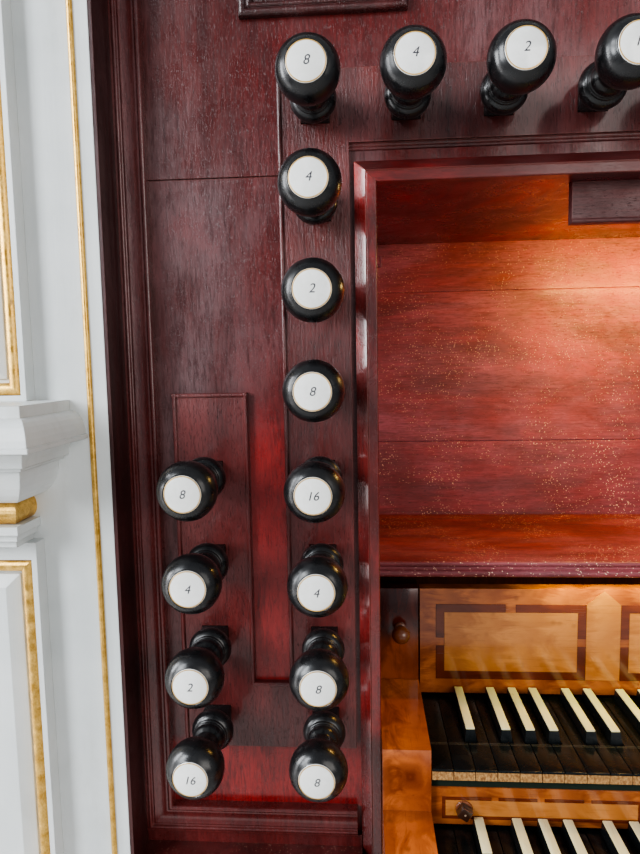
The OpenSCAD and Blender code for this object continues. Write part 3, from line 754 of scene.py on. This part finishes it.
@dataclass
class Panels:
    """The red-brown woodwork around the music recess and the manuals.

    Attributes:
        dresser: gives the solids their finishes.
        profile: the recess frame's section, as (in from its outer edge, out from the wall), in millimetres.
        mitre: the gap at the frame's corners.
    """

    dresser: Dresser
    profile: Outline = (
        (0, 0), (0, 7.6), (1.2, 8.8), (11.4, 17.3), (12.0, 17.3), (12.5, 16.4), (13.0, 17.2), (22.5, 17.2),
        (23.5, 16.2), (23.5, 0),
    )
    mitre: float = 0.2 * MM

    def finishes(self) -> dict[str, Varnish]:
        """The finishes of the boards that keep their solids' meshes.

        Returns:
            A finish for each solid.
        """
        across, deep = Grain.ACROSS, Grain.DEEP
        strip = {"red_x": (0.536, 0.573), "red_z": (0.80, 1.34), "red_foot": 0.92}
        return {
            "front_panels": Varnish("field_panels", veil=0.8, red=0.5, rough=0.22, **strip),
            "raised_panels": Varnish(
                "raised_panel", shade=0.8, red=0.2, rough=0.24, coat=0.5, relief=1.6, rubbed=0.05
            ),
            "stop_boards": Varnish("stop_board", shade=1.05, veil=0.25, rough=0.27, coat=0.5, relief=1.5),
            "surround_moulding": Varnish(
                "beaded_moulding", shade=1.1, veil=0.4, red=0.2, rough=0.2, coat=0.6
            ),
            "niche_lining": Varnish(
                "recess_lining", deep, shade=0.95, veil=0.0, red=1.2, rough=0.24, tint=(1.2, 0.2, 0.5)
            ),
            "music_desk": Varnish(
                "desk_boards", across, shade=1.9, veil=0.35, red=0.4, rough=0.46, specks=1.0, coat=0.05,
                tint=(1.05, 0.95, 1.5),
            ),
            "desk_ledge": Varnish(
                "desk_ledge_wood", across, shade=2.1, veil=0.6, red=0.2, rough=0.4, specks=1.0, coat=0.1,
                tint=(1.0, 0.9, 1.1),
            ),
            "lamp_board": Varnish(
                "lamp_board_wood", across, shade=0.95, veil=0.8, red=0.1, rough=0.42, coat=0.05
            ),
            "base_panels": Varnish("lower_woodwork", shade=0.8, red=0.2, rough=0.3, specks=0.15),
            "key_bed": Varnish("key_bed_wood", across, shade=0.8, veil=0.4, rough=0.3),
        }

    def build(self) -> None:
        """Dresses the woodwork and builds the recess's frame."""
        for node, finish in self.finishes().items():
            self.dresser.dress(finish, node)
        self.recess_frame()

    def recess_frame(self) -> None:
        """Builds the mitred frame of the music recess, which slopes up from its outer edge."""
        low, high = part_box("niche_frame")
        profile = [(u * MM, v * MM) for u, v in self.profile]
        legs, head = Shape("recess_legs"), Shape("recess_head")
        for side in (-1, 1):
            foot = [(side * (high.x - u), high.y - v, low.z) for u, v in profile]
            end = [(x, y, high.z - u - self.mitre) for (x, y, _), (u, _) in zip(foot, profile)]
            legs.skin([foot, end])
        head.skin([[(side * (high.x - u), high.y - v, high.z - u) for u, v in profile] for side in (-1, 1)])
        upright = Varnish("recess_frame", shade=1.3, veil=0.1, red=1.2, rough=0.14, coat=1.0)
        legs.piece(upright, "mahogany", "console", "niche_frame")
        across = Varnish(
            "recess_frame_head", Grain.ACROSS, shade=1.3, veil=0.2, red=1.0, rough=0.28, coat=0.25
        )
        head.piece(across, "mahogany", "console")


@dataclass
class Fascia:
    """The light woods around the manuals: nameboard, rail, end blocks and cheeks, and their inlay.

    Attributes:
        reveal: the end blocks' distance from the nameboard.
        dark_band: the height of the end blocks' dark upper part.
        heart: how far the heart in the cheeks' wood is from the middle, and under their top.
        knob_out: how far the end blocks' knobs stand out to the middle of their balls.
        knob_down: how far they are under the blocks' top.
        peg_in: the pegs' distance from the rail's ends.
        peg_up: their height over its lower edge.
    """

    dresser: Dresser
    reveal: float = 1.5 * MM
    dark_band: float = 62 * MM
    heart: tuple[float, float] = (399 * MM, 31 * MM)
    knob_r: float = 11.8 * MM
    knob_out: float = 20 * MM
    knob_down: float = 54 * MM
    peg_in: float = 35.6 * MM
    peg_up: float = 19 * MM
    peg_out: float = 11.5 * MM
    peg_half: float = 6.3 * MM
    peg_turn: float = 31

    def build(self) -> None:
        """Dresses the light woods and builds the small turned parts."""
        dress = self.dresser.dress
        honey = Figured("honey_wood", (0.20, 0.042, 0.010), (0.55, 0.17, 0.042), curl=1.8, burl=0.6)
        dress(honey, "nameboard", "manual_rail")
        light = Figured("flamed_veneer", (0.36, 0.115, 0.024), (0.62, 0.25, 0.070), curl=1.2, burl=0.4)
        dress(light, "light_inlay")
        dress(Figured("dark_veneer", (0.085, 0.014, 0.004), (0.19, 0.036, 0.010), curl=1.0), "dark_inlay")
        heart = (self.heart[0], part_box("key_cheeks")[1].z - self.heart[1])
        burr = Figured(
            "cheek_wood", (0.22, 0.044, 0.011), (0.62, 0.18, 0.05), Grain.DEEP, 1.6, 0.14, 0.5, heart
        )
        dress(burr, "key_cheeks")
        self.end_blocks()
        self.pegs()

    def end_blocks(self) -> None:
        """Builds the blocks at the nameboard's ends with their dark turned knobs."""
        low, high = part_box("end_blocks")
        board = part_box("nameboard")
        inner, front = board[1].x + self.reveal, board[0].y
        neck = [(0.0, -1.0), (8.0, -1.0), (8.0, 2.2), (7.2, 3.0), (4.6, 4.0), (4.5, 10.0)]
        turns = [math.pi * k / 12 for k in range(3, 12)]
        ball = [(self.knob_r * math.sin(a), self.knob_out - self.knob_r * math.cos(a)) for a in turns]
        profile = [*((r * MM, out * MM) for r, out in neck), *ball, (0.0, self.knob_out + self.knob_r)]
        blocks, knobs = Shape("end_block_wood"), Shape("end_block_knobs")
        for side in (-1, 1):
            x0, x1 = sorted((side * inner, side * high.x))
            blocks.block((x0, front, low.z), (x1, high.y, high.z), 1.2 * MM)
            middle = side * (inner + high.x - 5 * MM) / 2
            knobs.turned(profile, Matrix.Translation((middle, front, high.z - self.knob_down)) @ OUTWARD)
        wood = Figured(
            "end_block_wood", (0.14, 0.026, 0.007), (0.40, 0.10, 0.03), Grain.UPRIGHT, 1.2, 0.16,
            dark_above=high.z - self.dark_band,
        )
        blocks.piece(wood, "amber_wood", "console", "end_blocks")
        walnut = Figured("knob_walnut", (0.08, 0.022, 0.008), (0.22, 0.07, 0.024), rough=0.16)
        knobs.piece(walnut, "walnut_inlay", "console")

    def pegs(self) -> None:
        """Builds the square-headed pegs in the rail between the manuals, each on a dark round disc."""
        low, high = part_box("manual_rail")
        out, half = self.peg_out, self.peg_half
        # a dark round disc behind each square head, darker than the rail around it
        dark_disc = [(0.0, 0.0), (8.9 * MM, 0.0), (8.9 * MM, 1.0 * MM), (8.2 * MM, 1.8 * MM), (0.0, 1.8 * MM)]
        # a small pale disc at the middle of each head, standing 0.05 mm proud of its face
        dot_r, dot_span = 1.2 * MM, (out - 1 * MM, out + 0.25 * MM)
        centre_dot = [(0.0, dot_span[0]), (dot_r, dot_span[0]), (dot_r, dot_span[1]), (0.0, dot_span[1])]
        dark_discs, heads, centre_dots = Shape("peg_dark_discs"), Shape("peg_heads"), Shape("peg_centre_dots")
        for side in (-1, 1):
            at = (side * (high.x - self.peg_in), low.y + out, low.z + self.peg_up)
            place = Matrix.Translation(at) @ OUTWARD
            turned = place @ Matrix.Rotation(side * math.radians(self.peg_turn), 4, "Z")
            dark_discs.turned(dark_disc, place)
            heads.block((-half, -half, 0.0), (half, half, out + 0.2 * MM), 0.9 * MM, turned)
            centre_dots.turned(centre_dot, place, 16)
        finishes = (
            (dark_discs, Figured("peg_dark_disc", (0.15, 0.042, 0.016), (0.27, 0.085, 0.032), rough=0.3)),
            (heads, Figured("peg_walnut", (0.018, 0.007, 0.004), (0.05, 0.018, 0.009), rough=0.24)),
            (centre_dots, Smooth("peg_centre_dot", (0.35, 0.25, 0.18), (0.25, 0.18, 0.12), 0.5)),
        )
        for shape, finish in finishes:
            shape.piece(finish, "walnut_inlay", "console")


@dataclass
class Manual:
    """One keyboard, by its own sizes in metres.

    Attributes:
        front: the y of its naturals' fronts.
        board: the y of the board behind it.
        top: the height of its naturals.
        cover: the thickness of the naturals' covers.
        plate: the thickness of the sharps' plates.
        slope: how far the sharps' fronts lean back.
        shifts: the sharps' middles after each natural of an octave, in naturals to the right.
    """

    front: float
    board: float
    top: float
    naturals: int = 32
    pitch: float = 23.5 * MM
    gap: float = 0.8 * MM
    head: float = 50 * MM
    sharp_in: float = 3.7 * MM
    tail: float = 60 * MM
    cover: float = 3 * MM
    depth: float = 13 * MM
    rise: float = 14 * MM
    foot: float = 13.4 * MM
    crown: float = 10.2 * MM
    plate: float = 2.2 * MM
    slope: float = 3 * MM
    shifts: tuple[float, ...] = (-0.03, 0.15, 0.0, -0.11, 0.07, 0.2, 0.0)

    def has_sharp(self, i: int) -> bool:
        """Whether a sharp stands between a natural and the next one."""
        return 0 < i < self.naturals - 1 and i % 7 not in (2, 6)

    def sharp_x(self, i: int) -> float:
        """The middle of the sharp after a natural."""
        return (i + 1 - self.naturals / 2 + self.shifts[i % 7]) * self.pitch

    def natural_outline(self, i: int) -> Outline:
        """A natural seen from above, with its notches for the sharps.

        Args:
            i: the natural's number, from 0.

        Returns:
            Its corners, anticlockwise.
        """
        x0 = (i - self.naturals / 2) * self.pitch + self.gap / 2
        x1 = x0 + self.pitch - self.gap
        cut = self.foot / 2 + self.gap
        back, step = self.board + self.tail, self.front + self.head
        points = [(x0, self.front), (x1, self.front)]
        if self.has_sharp(i) and self.sharp_x(i) - cut < x1:
            edge = self.sharp_x(i) - cut
            points += [(x1, step), (edge, step), (edge, back)]
        else:
            points += [(x1, back)]
        if self.has_sharp(i - 1) and self.sharp_x(i - 1) + cut > x0:
            edge = self.sharp_x(i - 1) + cut
            points += [(edge, back), (edge, step), (x0, step)]
        else:
            points += [(x0, back)]
        return points

    def add(self, covers: Shape, bodies: Shape, feet: Shape, tops: Shape) -> None:
        """Adds this keyboard's keys.

        Args:
            covers: takes the naturals' covers.
            bodies: takes their wood.
            feet: takes the sharps' bodies.
            tops: takes their plates.
        """
        for i in range(self.naturals):
            outline = self.natural_outline(i)
            covers.prism(outline, self.top - self.cover, self.top, 0.7 * MM)
            inner = [(x, max(y, self.front + 1 * MM)) for x, y in outline]
            bodies.prism(inner, self.top - self.depth, self.top - self.cover, 0)
            if self.has_sharp(i):
                self.add_sharp(self.sharp_x(i), feet, tops)

    def add_sharp(self, x: float, feet: Shape, tops: Shape) -> None:
        """Adds one sharp: its black body and the light plate on top.

        Args:
            x: its middle.
            feet: takes the body.
            tops: takes the plate.
        """
        start, end = self.front + self.head + self.sharp_in, self.board - 2 * MM
        w, c, high = self.foot / 2, self.crown / 2, self.top + self.rise
        under, seat = self.top - 1 * MM, high - self.plate
        feet.block((x - w, start, self.top - self.depth), (x + w, end + self.tail, under), 0)
        section = (
            (start, under, w), (start, self.top, w), (start + self.slope, seat, c),
            (end, seat, c), (end, self.top, w), (end, under, w),
        )
        feet.skin([[(x + side * half, y, z) for y, z, half in section] for side in (-1, 1)])
        tops.block((x - c, start + self.slope + 0.2 * MM, seat), (x + c, end, high), 0.8 * MM)


@dataclass
class Manuals:
    """Both keyboards and the felt under their fronts.

    Attributes:
        step: how far the lower keyboard's front stands before the upper one's.
        length: from the upper keyboard's front to the board behind it.
        rail_in: from the nameboard to the board behind the lower keyboard.
        drop: how far the lower keyboard lies under the upper one.
        felt_in: the felt's sides, behind the naturals' fronts.
        felt_down: its lower and upper side, under the naturals.
    """

    step: float = 104 * MM
    length: float = 155 * MM
    rail_in: float = 149 * MM
    drop: float = 70.5 * MM
    felt_in: tuple[float, float] = (6.5 * MM, 27 * MM)
    felt_down: tuple[float, float] = (11 * MM, 0.4 * MM)

    def build(self) -> None:
        """Builds the keys."""
        (low, high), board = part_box("natural_keys"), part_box("nameboard")[0].y
        front = low.y + self.step
        upper = Manual(front, front + self.length, high.z)
        lower = Manual(front - self.step, board - self.rail_in, high.z - self.drop)
        covers, bodies = Shape("natural_covers"), Shape("natural_bodies")
        feet, tops = Shape("sharp_bodies"), Shape("sharp_plates")
        for manual in (upper, lower):
            manual.add(covers, bodies, feet, tops)
        ends = [manual.front + manual.head for manual in (upper, lower)]
        ebony = Lacquer(
            "ebony_covers", (0.007, 0.009, 0.010), (0.017, 0.019, 0.021), rough=0.2, wear=0.6, coat=0.08,
            sheen=0.3, lines=tuple(end - back for end in ends for back in (0.8 * MM, 3.4 * MM)),
        )
        lime = Smooth("key_wood", (0.62, 0.36, 0.14), (0.20, 0.08, 0.022), 0.6, 420, (1, 1, 0.6), 0.2)
        bone = Smooth(
            "bone_plates", (0.90, 0.85, 0.56), (0.80, 0.71, 0.40), 0.26, 30, (1, 0.15, 1), 0.04, 0.3
        )
        covers.piece(ebony, "ebony_keys", "console", "natural_keys")
        self.felt(upper)
        bodies.piece(lime, "ebony_keys", "console")
        feet.piece(ebony, "bone_sharps", "console", "sharp_keys")
        tops.piece(bone, "bone_sharps", "console")

    def felt(self, manual: Manual) -> None:
        """Lays the green felt that a keyboard's fronts rest on.

        Args:
            manual: the keyboard.
        """
        strip = Shape("key_felt")
        half, bottom = manual.naturals * manual.pitch / 2, manual.top - manual.depth
        sides = zip((-half, half), self.felt_in, self.felt_down)
        low, high = ((x, manual.front + back, bottom - down) for x, back, down in sides)
        strip.block(low, high, 1 * MM)
        green = Smooth("green_felt", (0.005, 0.020, 0.009), (0.002, 0.008, 0.004), 0.9, 900, depth=0.4)
        strip.piece(green, "ebony_keys", "console")


@dataclass
class Drawknob:
    """A turned drawknob with a square shank, by its own sizes in metres.

    Attributes:
        lean: how far its head leans to the right and upward, in degrees.
        ball_in: how far the ball's middle is behind the face.
        brow: the radius of the ball's shoulder.
        rim_in: how far the wood's front rim is behind the face.
        hidden: how far the shank runs on behind the board.
        rings: the neck's rings in millimetres: height over the shank, radius, depth inside the bell.
    """

    x: float
    face_y: float
    z: float
    mark: str
    lean: tuple[float, float] = (0.0, 0.0)
    length: float = 115 * MM
    ball_d: float = 60.6 * MM
    ball_in: float = 20 * MM
    brow: float = 20 * MM
    rim_in: float = 2.3 * MM
    plate_d: float = 37.4 * MM
    shank: float = 30 * MM
    hidden: float = 75 * MM
    shank_out: float = 16 * MM
    bell_d: float = 48 * MM
    neck_d: float = 26 * MM
    dome: float = 100 * MM
    rings: tuple[Point, ...] = ((11, 11, 11), (21.5, 2.0, 7), (25, 1.5, 7.2), (27, 9.5, 16))

    def straight(self) -> Matrix:
        """The shank's frame: z out of the board, along -Y."""
        return Matrix.Translation((self.x, self.face_y, self.z)) @ OUTWARD

    def place(self) -> Matrix:
        """Leans the turned head to the right and upward about the shank's end.

        Returns:
            The head's frame.
        """
        right, up = (math.radians(a) for a in self.lean)
        end = Matrix.Translation((0, 0, self.shank_out))
        leaning = Matrix.Rotation(right, 4, "Y") @ Matrix.Rotation(-up, 4, "X")
        return self.straight() @ end @ leaning @ end.inverted()

    def profile(self) -> Outline:
        """The turned outline, as the largest radius of its rings and balls at each height.

        Returns:
            Points (radius, height).
        """
        ball, r, bell = self.length - self.ball_in, self.ball_d / 2, self.bell_d / 2
        end = self.length - self.rim_in
        rings = [(self.shank_out + at * MM, ring * MM, bell - inside * MM) for at, ring, inside in self.rings]
        rings += [(ball, r, 0.0), (ball, self.brow, r - self.brow)]
        heights = {0.0, end}
        for middle, radius, _ in rings:
            steps = 24 if radius > 15 * MM else 10
            turns = (middle - radius * math.cos(math.pi * k / steps) for k in range(steps + 1))
            heights.update(round(t, 6) for t in turns if 0 < t < end)

        def widest(t: float) -> float:
            """The radius at a height.

            Args:
                t: the height.

            Returns:
                The largest radius there.
            """
            found = [self.neck_d / 2]
            for middle, radius, out in rings:
                if abs(t - middle) <= radius and not (out == 0 and t > middle):
                    found.append(out + math.sqrt(max(0.0, radius**2 - (t - middle) ** 2)))
            return max(found)

        line = [(widest(t), t) for t in sorted(heights)]
        seat, floor = self.plate_d / 2, end - 0.2 * MM
        return [*line, (seat + 0.7 * MM, end + 0.25 * MM), (seat + 0.1 * MM, floor), (0.0, floor)]

    def plate(self) -> Outline:
        """Outlines the domed face, with its rounded rim.

        Returns:
            Points (radius, height).
        """
        r, top = self.plate_d / 2 - 0.15 * MM, self.length
        rim = [(0.0, top - 3.2 * MM), (r, top - 3.2 * MM), (r, self.dome_height(r) - 0.6 * MM)]
        curve = [(r * k / 10, self.dome_height(r * k / 10)) for k in range(10, 0, -1)]
        curve[0] = (r - 0.5 * MM, self.dome_height(r) - 0.1 * MM)
        return [*rim, *curve, (0.0, top)]

    def dome_height(self, radius: float) -> float:
        """How far out the domed face is at a distance from its middle."""
        return self.length - self.dome + math.sqrt(self.dome**2 - radius**2)

    def add_ring(self, gilt: Shape) -> None:
        """Adds the thin gilt line along the face's edge.

        Args:
            gilt: takes the line.
        """
        inner, outer, lift = self.plate_d / 2 - 1.4 * MM, self.plate_d / 2 - 0.45 * MM, 0.07 * MM
        section = ((inner, 0.0), (inner, lift), (outer, lift), (outer, 0.0))
        line = [(r, self.dome_height(r) + up) for r, up in section]
        gilt.turned(line, self.place(), 64)

    def add_mark(self, ink: Shape) -> None:
        """Adds a plain number to the face.

        Args:
            ink: takes the number.
        """
        text = bpy.data.curves.new("mark", "FONT")
        text.body, text.size, text.shear = self.mark, 12 * MM, 0.25
        text.align_x, text.align_y = "CENTER", "CENTER"
        held = link("mark", text)
        bpy.context.view_layer.update()
        data = bpy.data.meshes.new_from_object(held.evaluated_get(bpy.context.evaluated_depsgraph_get()))
        bpy.data.objects.remove(held)
        made = bmesh.new()
        made.from_mesh(data)
        bpy.data.meshes.remove(data)
        bmesh.ops.triangulate(made, faces=made.faces)
        bmesh.ops.subdivide_edges(made, edges=made.edges, cuts=2, use_grid_fill=True)
        for v in made.verts:
            v.co.z = self.dome_height(math.hypot(v.co.x, v.co.y)) + 0.08 * MM
        ink.take(made, self.place())

    def add(self, black: Shape, white: Shape, gilt: Shape, ink: Shape) -> None:
        """Adds the knob to four meshes.

        Args:
            black: takes the turned wood and its shank.
            white: takes the face.
            gilt: takes the line on it.
            ink: takes the number.
        """
        black.turned(self.profile(), self.place())
        s = self.shank / 2
        black.block((-s, -s, -self.hidden), (s, s, self.shank_out + 4 * MM), 1.6 * MM, self.straight())
        white.turned(self.plate(), self.place(), 64)
        self.add_ring(gilt)
        self.add_mark(ink)


@dataclass
class Drawknobs:
    """Every drawknob of the console, with the plain numbers on their faces and the leans of some heads."""

    marks: tuple[str, ...] = ("8", "4", "2", "16", "8", "4", "2", "8", "16", "4", "8")
    leans: dict[str, tuple[float, float]] = field(
        default_factory=lambda: {
            "knob_corner": (0.0, -1.1),
            "knob_strip_2": (0.8, -1.3),
            "knob_strip_4": (-0.8, -1.3),
            "knob_strip_7": (-1.8, 0.0),
            "knob_column_2": (0.8, 1.7),
            "knob_column_4": (-2.2, -0.7),
        }
    )

    def pieces(
        self, knobs: Iterable[Drawknob], name: str, body: str, node: str, done: Sequence[Finish]
    ) -> None:
        """Makes the four pieces of some knobs that ride together.

        Args:
            knobs: the knobs.
            name: the pieces' first name.
            body: what they ride on.
            node: the solid that they stand for.
            done: the four finishes.
        """
        shapes = [Shape(f"{name}_{part}") for part in ("turning", "face", "line", "number")]
        for knob in knobs:
            knob.add(*shapes)
        for shape, finish, stands_for in zip(shapes, done, ((node,), (), (), ())):
            shape.piece(finish, "black_lacquer", body, *stands_for)

    def build(self, nodes: Iterable[str]) -> None:
        """Builds the movable knobs from their solids' places, and the fixed ones as their mirror.

        Args:
            nodes: the names of every solid.
        """
        done = (
            Lacquer("black_lacquer"),
            Smooth("porcelain_face", (0.88, 0.88, 0.86), (0.80, 0.80, 0.77), 0.12, 40, depth=0.01, coat=0.6),
            Smooth("gilt_line", (0.80, 0.50, 0.15), (0.50, 0.30, 0.10), 0.35, 90, metallic=0.5),
            Smooth("plain_ink", (0.02, 0.02, 0.03), (0.05, 0.05, 0.06), 0.5, 300),
        )
        face_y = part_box("knob_corner")[0].y + Drawknob.length
        places = {}
        for name in sorted(n for n in nodes if n.startswith("knob_")):
            low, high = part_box(name)
            places[name] = ((low.x + high.x) / 2, (low.z + high.z) / 2)
        for i, (name, (x, z)) in enumerate(places.items()):
            mark = self.marks[i % len(self.marks)]
            knob = Drawknob(x, face_y, z, mark, self.leans.get(name, (0.0, 0.0)))
            self.pieces([knob], name, name, name, done)
        corner, row = places["knob_corner"]
        fifth = corner + 4 * (places["knob_top_1"][0] - corner)
        others = [(fifth, row), (-fifth, row), *((-x, z) for x, z in places.values())]
        marks = [self.marks[(5 * i + 2) % len(self.marks)] for i in range(len(others))]
        fixed = [Drawknob(x, face_y, z, mark) for (x, z), mark in zip(others, marks)]
        self.pieces(fixed, "mirror_knobs", "console", "mirror_drawknobs", done)


@dataclass(frozen=True)
class Lamp:
    """One rectangular light, in metres and watts."""

    name: str
    place: Point
    aim: Point
    size: tuple[float, float]
    power: float
    tone: Colour

    def hang(self) -> bpy.types.Object:
        """Hangs the light.

        Returns:
            The light.
        """
        data = bpy.data.lights.new(self.name, "AREA")
        data.shape, data.size, data.size_y = "RECTANGLE", *self.size
        data.energy, data.color = self.power, self.tone
        made = link(self.name, data)
        made.location = self.place
        made.rotation_euler = (Vector(self.aim) - Vector(self.place)).to_track_quat("-Z", "Y").to_euler()
        return made


@dataclass
class Studio:
    """The floor, the light and the camera.

    Attributes:
        turn: how far the camera looks to the left, in degrees.
        dip: how far it looks down.
    """

    eye: Point = (-0.4469, -0.8293, 1.3646)
    turn: float = 3.81
    dip: float = 5.74
    roll: float = 1.04
    lens: float = 26.94
    lamps: tuple[Lamp, ...] = (
        Lamp("high_left", (-2.8, -2.2, 2.5), (-0.4, 0, 1.25), (1.0, 2.0), 115, (0.92, 0.96, 1.0)),
        Lamp("near_left", (-2.6, -0.66, 1.95), (-0.4, -0.1, 1.35), (0.55, 1.3), 40, (0.95, 0.97, 1.0)),
        Lamp("low_left", (-2.6, -0.66, 0.7), (-0.4, -0.1, 1.0), (0.55, 1.2), 9, (0.95, 0.93, 0.93)),
        Lamp("fill", (1.6, -3.0, 2.0), (0, 0, 1.2), (2.4, 2.0), 50, (1.0, 0.95, 0.90)),
    )

    def floor(self) -> None:
        """Lays the pale floor."""
        made = bmesh.new()
        bmesh.ops.create_grid(made, x_segments=1, y_segments=1, size=9)
        data = bpy.data.meshes.new("floor")
        made.to_mesh(data)
        made.free()
        data.materials.append(Smooth("pale_floor", (0.66, 0.65, 0.63), (0.62, 0.61, 0.59), 0.7, 4).material)
        floor = link("floor", data)

    def light(self) -> None:
        """Lights the console softly from around it."""
        world = bpy.data.worlds.new("studio")
        world.use_nodes = True
        back = world.node_tree.nodes["Background"]
        back.inputs["Color"].default_value = (0.80, 0.86, 0.92, 1)
        back.inputs["Strength"].default_value = 0.42
        bpy.context.scene.world = world
        bpy.context.scene.view_settings.look = "AgX - Medium High Contrast"
        for lamp in self.lamps:
            lamp.hang()

    def glow(self) -> None:
        """Lights the recess from behind its lamp board, and the upper keys from under the ledge."""
        board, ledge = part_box("lamp_board")[1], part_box("desk_ledge")[0]
        place = (0.03, board.y + 0.10, board.z - 0.02)
        back, left = (0.03, board.y + 0.26, board.z - 0.18), (-0.5, board.y - 0.15, board.z - 0.30)
        recess = Lamp("recess_lamp", place, back, (0.24, 0.02), 2.9, (1.0, 0.52, 0.10)).hang()
        end = Lamp("lamp_end", place, left, (0.16, 0.05), 0.6, (1.0, 0.68, 0.24)).hang()
        under, keys = (0.01, ledge.y + 0.016, ledge.z - 0.003), (0.01, ledge.y + 0.026, ledge.z - 0.03)
        key_lamp = Lamp("key_lamp", under, keys, (0.46, 0.008), 0.75, (0.86, 0.82, 0.05)).hang()
        for lamp in (recess, end, key_lamp):
            lamp.visible_camera = False
        key_lamp.visible_glossy = False

    def camera(self) -> None:
        """Sets the camera at the photograph's angle."""
        data = bpy.data.cameras.new("camera")
        data.sensor_fit, data.sensor_height, data.lens = "VERTICAL", 36, self.lens
        data.clip_start = 0.02
        made = link("camera", data)
        yaw, dip, roll = (math.radians(a) for a in (self.turn, self.dip, self.roll))
        look = Euler((math.pi / 2 - dip, 0, yaw)).to_matrix() @ Matrix.Rotation(-roll, 3, "Z")
        made.matrix_world = Matrix.Translation(self.eye) @ look.to_4x4()
        bpy.context.scene.camera = made

    def build(self) -> None:
        """Builds the whole studio."""
        self.floor()
        self.light()
        self.glow()
        self.camera()


def corners(box: tuple[Vector, Vector]) -> list[list[float]]:
    """A box as plain numbers."""
    return [[float(c) for c in corner] for corner in box]


def main() -> None:
    """Loads the frame, dresses it, builds the pieces, and sets up the floor, light and camera."""
    logging.basicConfig(level=logging.INFO, format="%(message)s")
    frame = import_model()
    dresser = Dresser(frame["nodes"])
    for part in (Case(dresser), Panels(dresser), Fascia(dresser), Manuals()):
        part.build()
    Drawknobs().build(frame["nodes"])
    Studio().build()


if __name__ == "__main__":
    main()
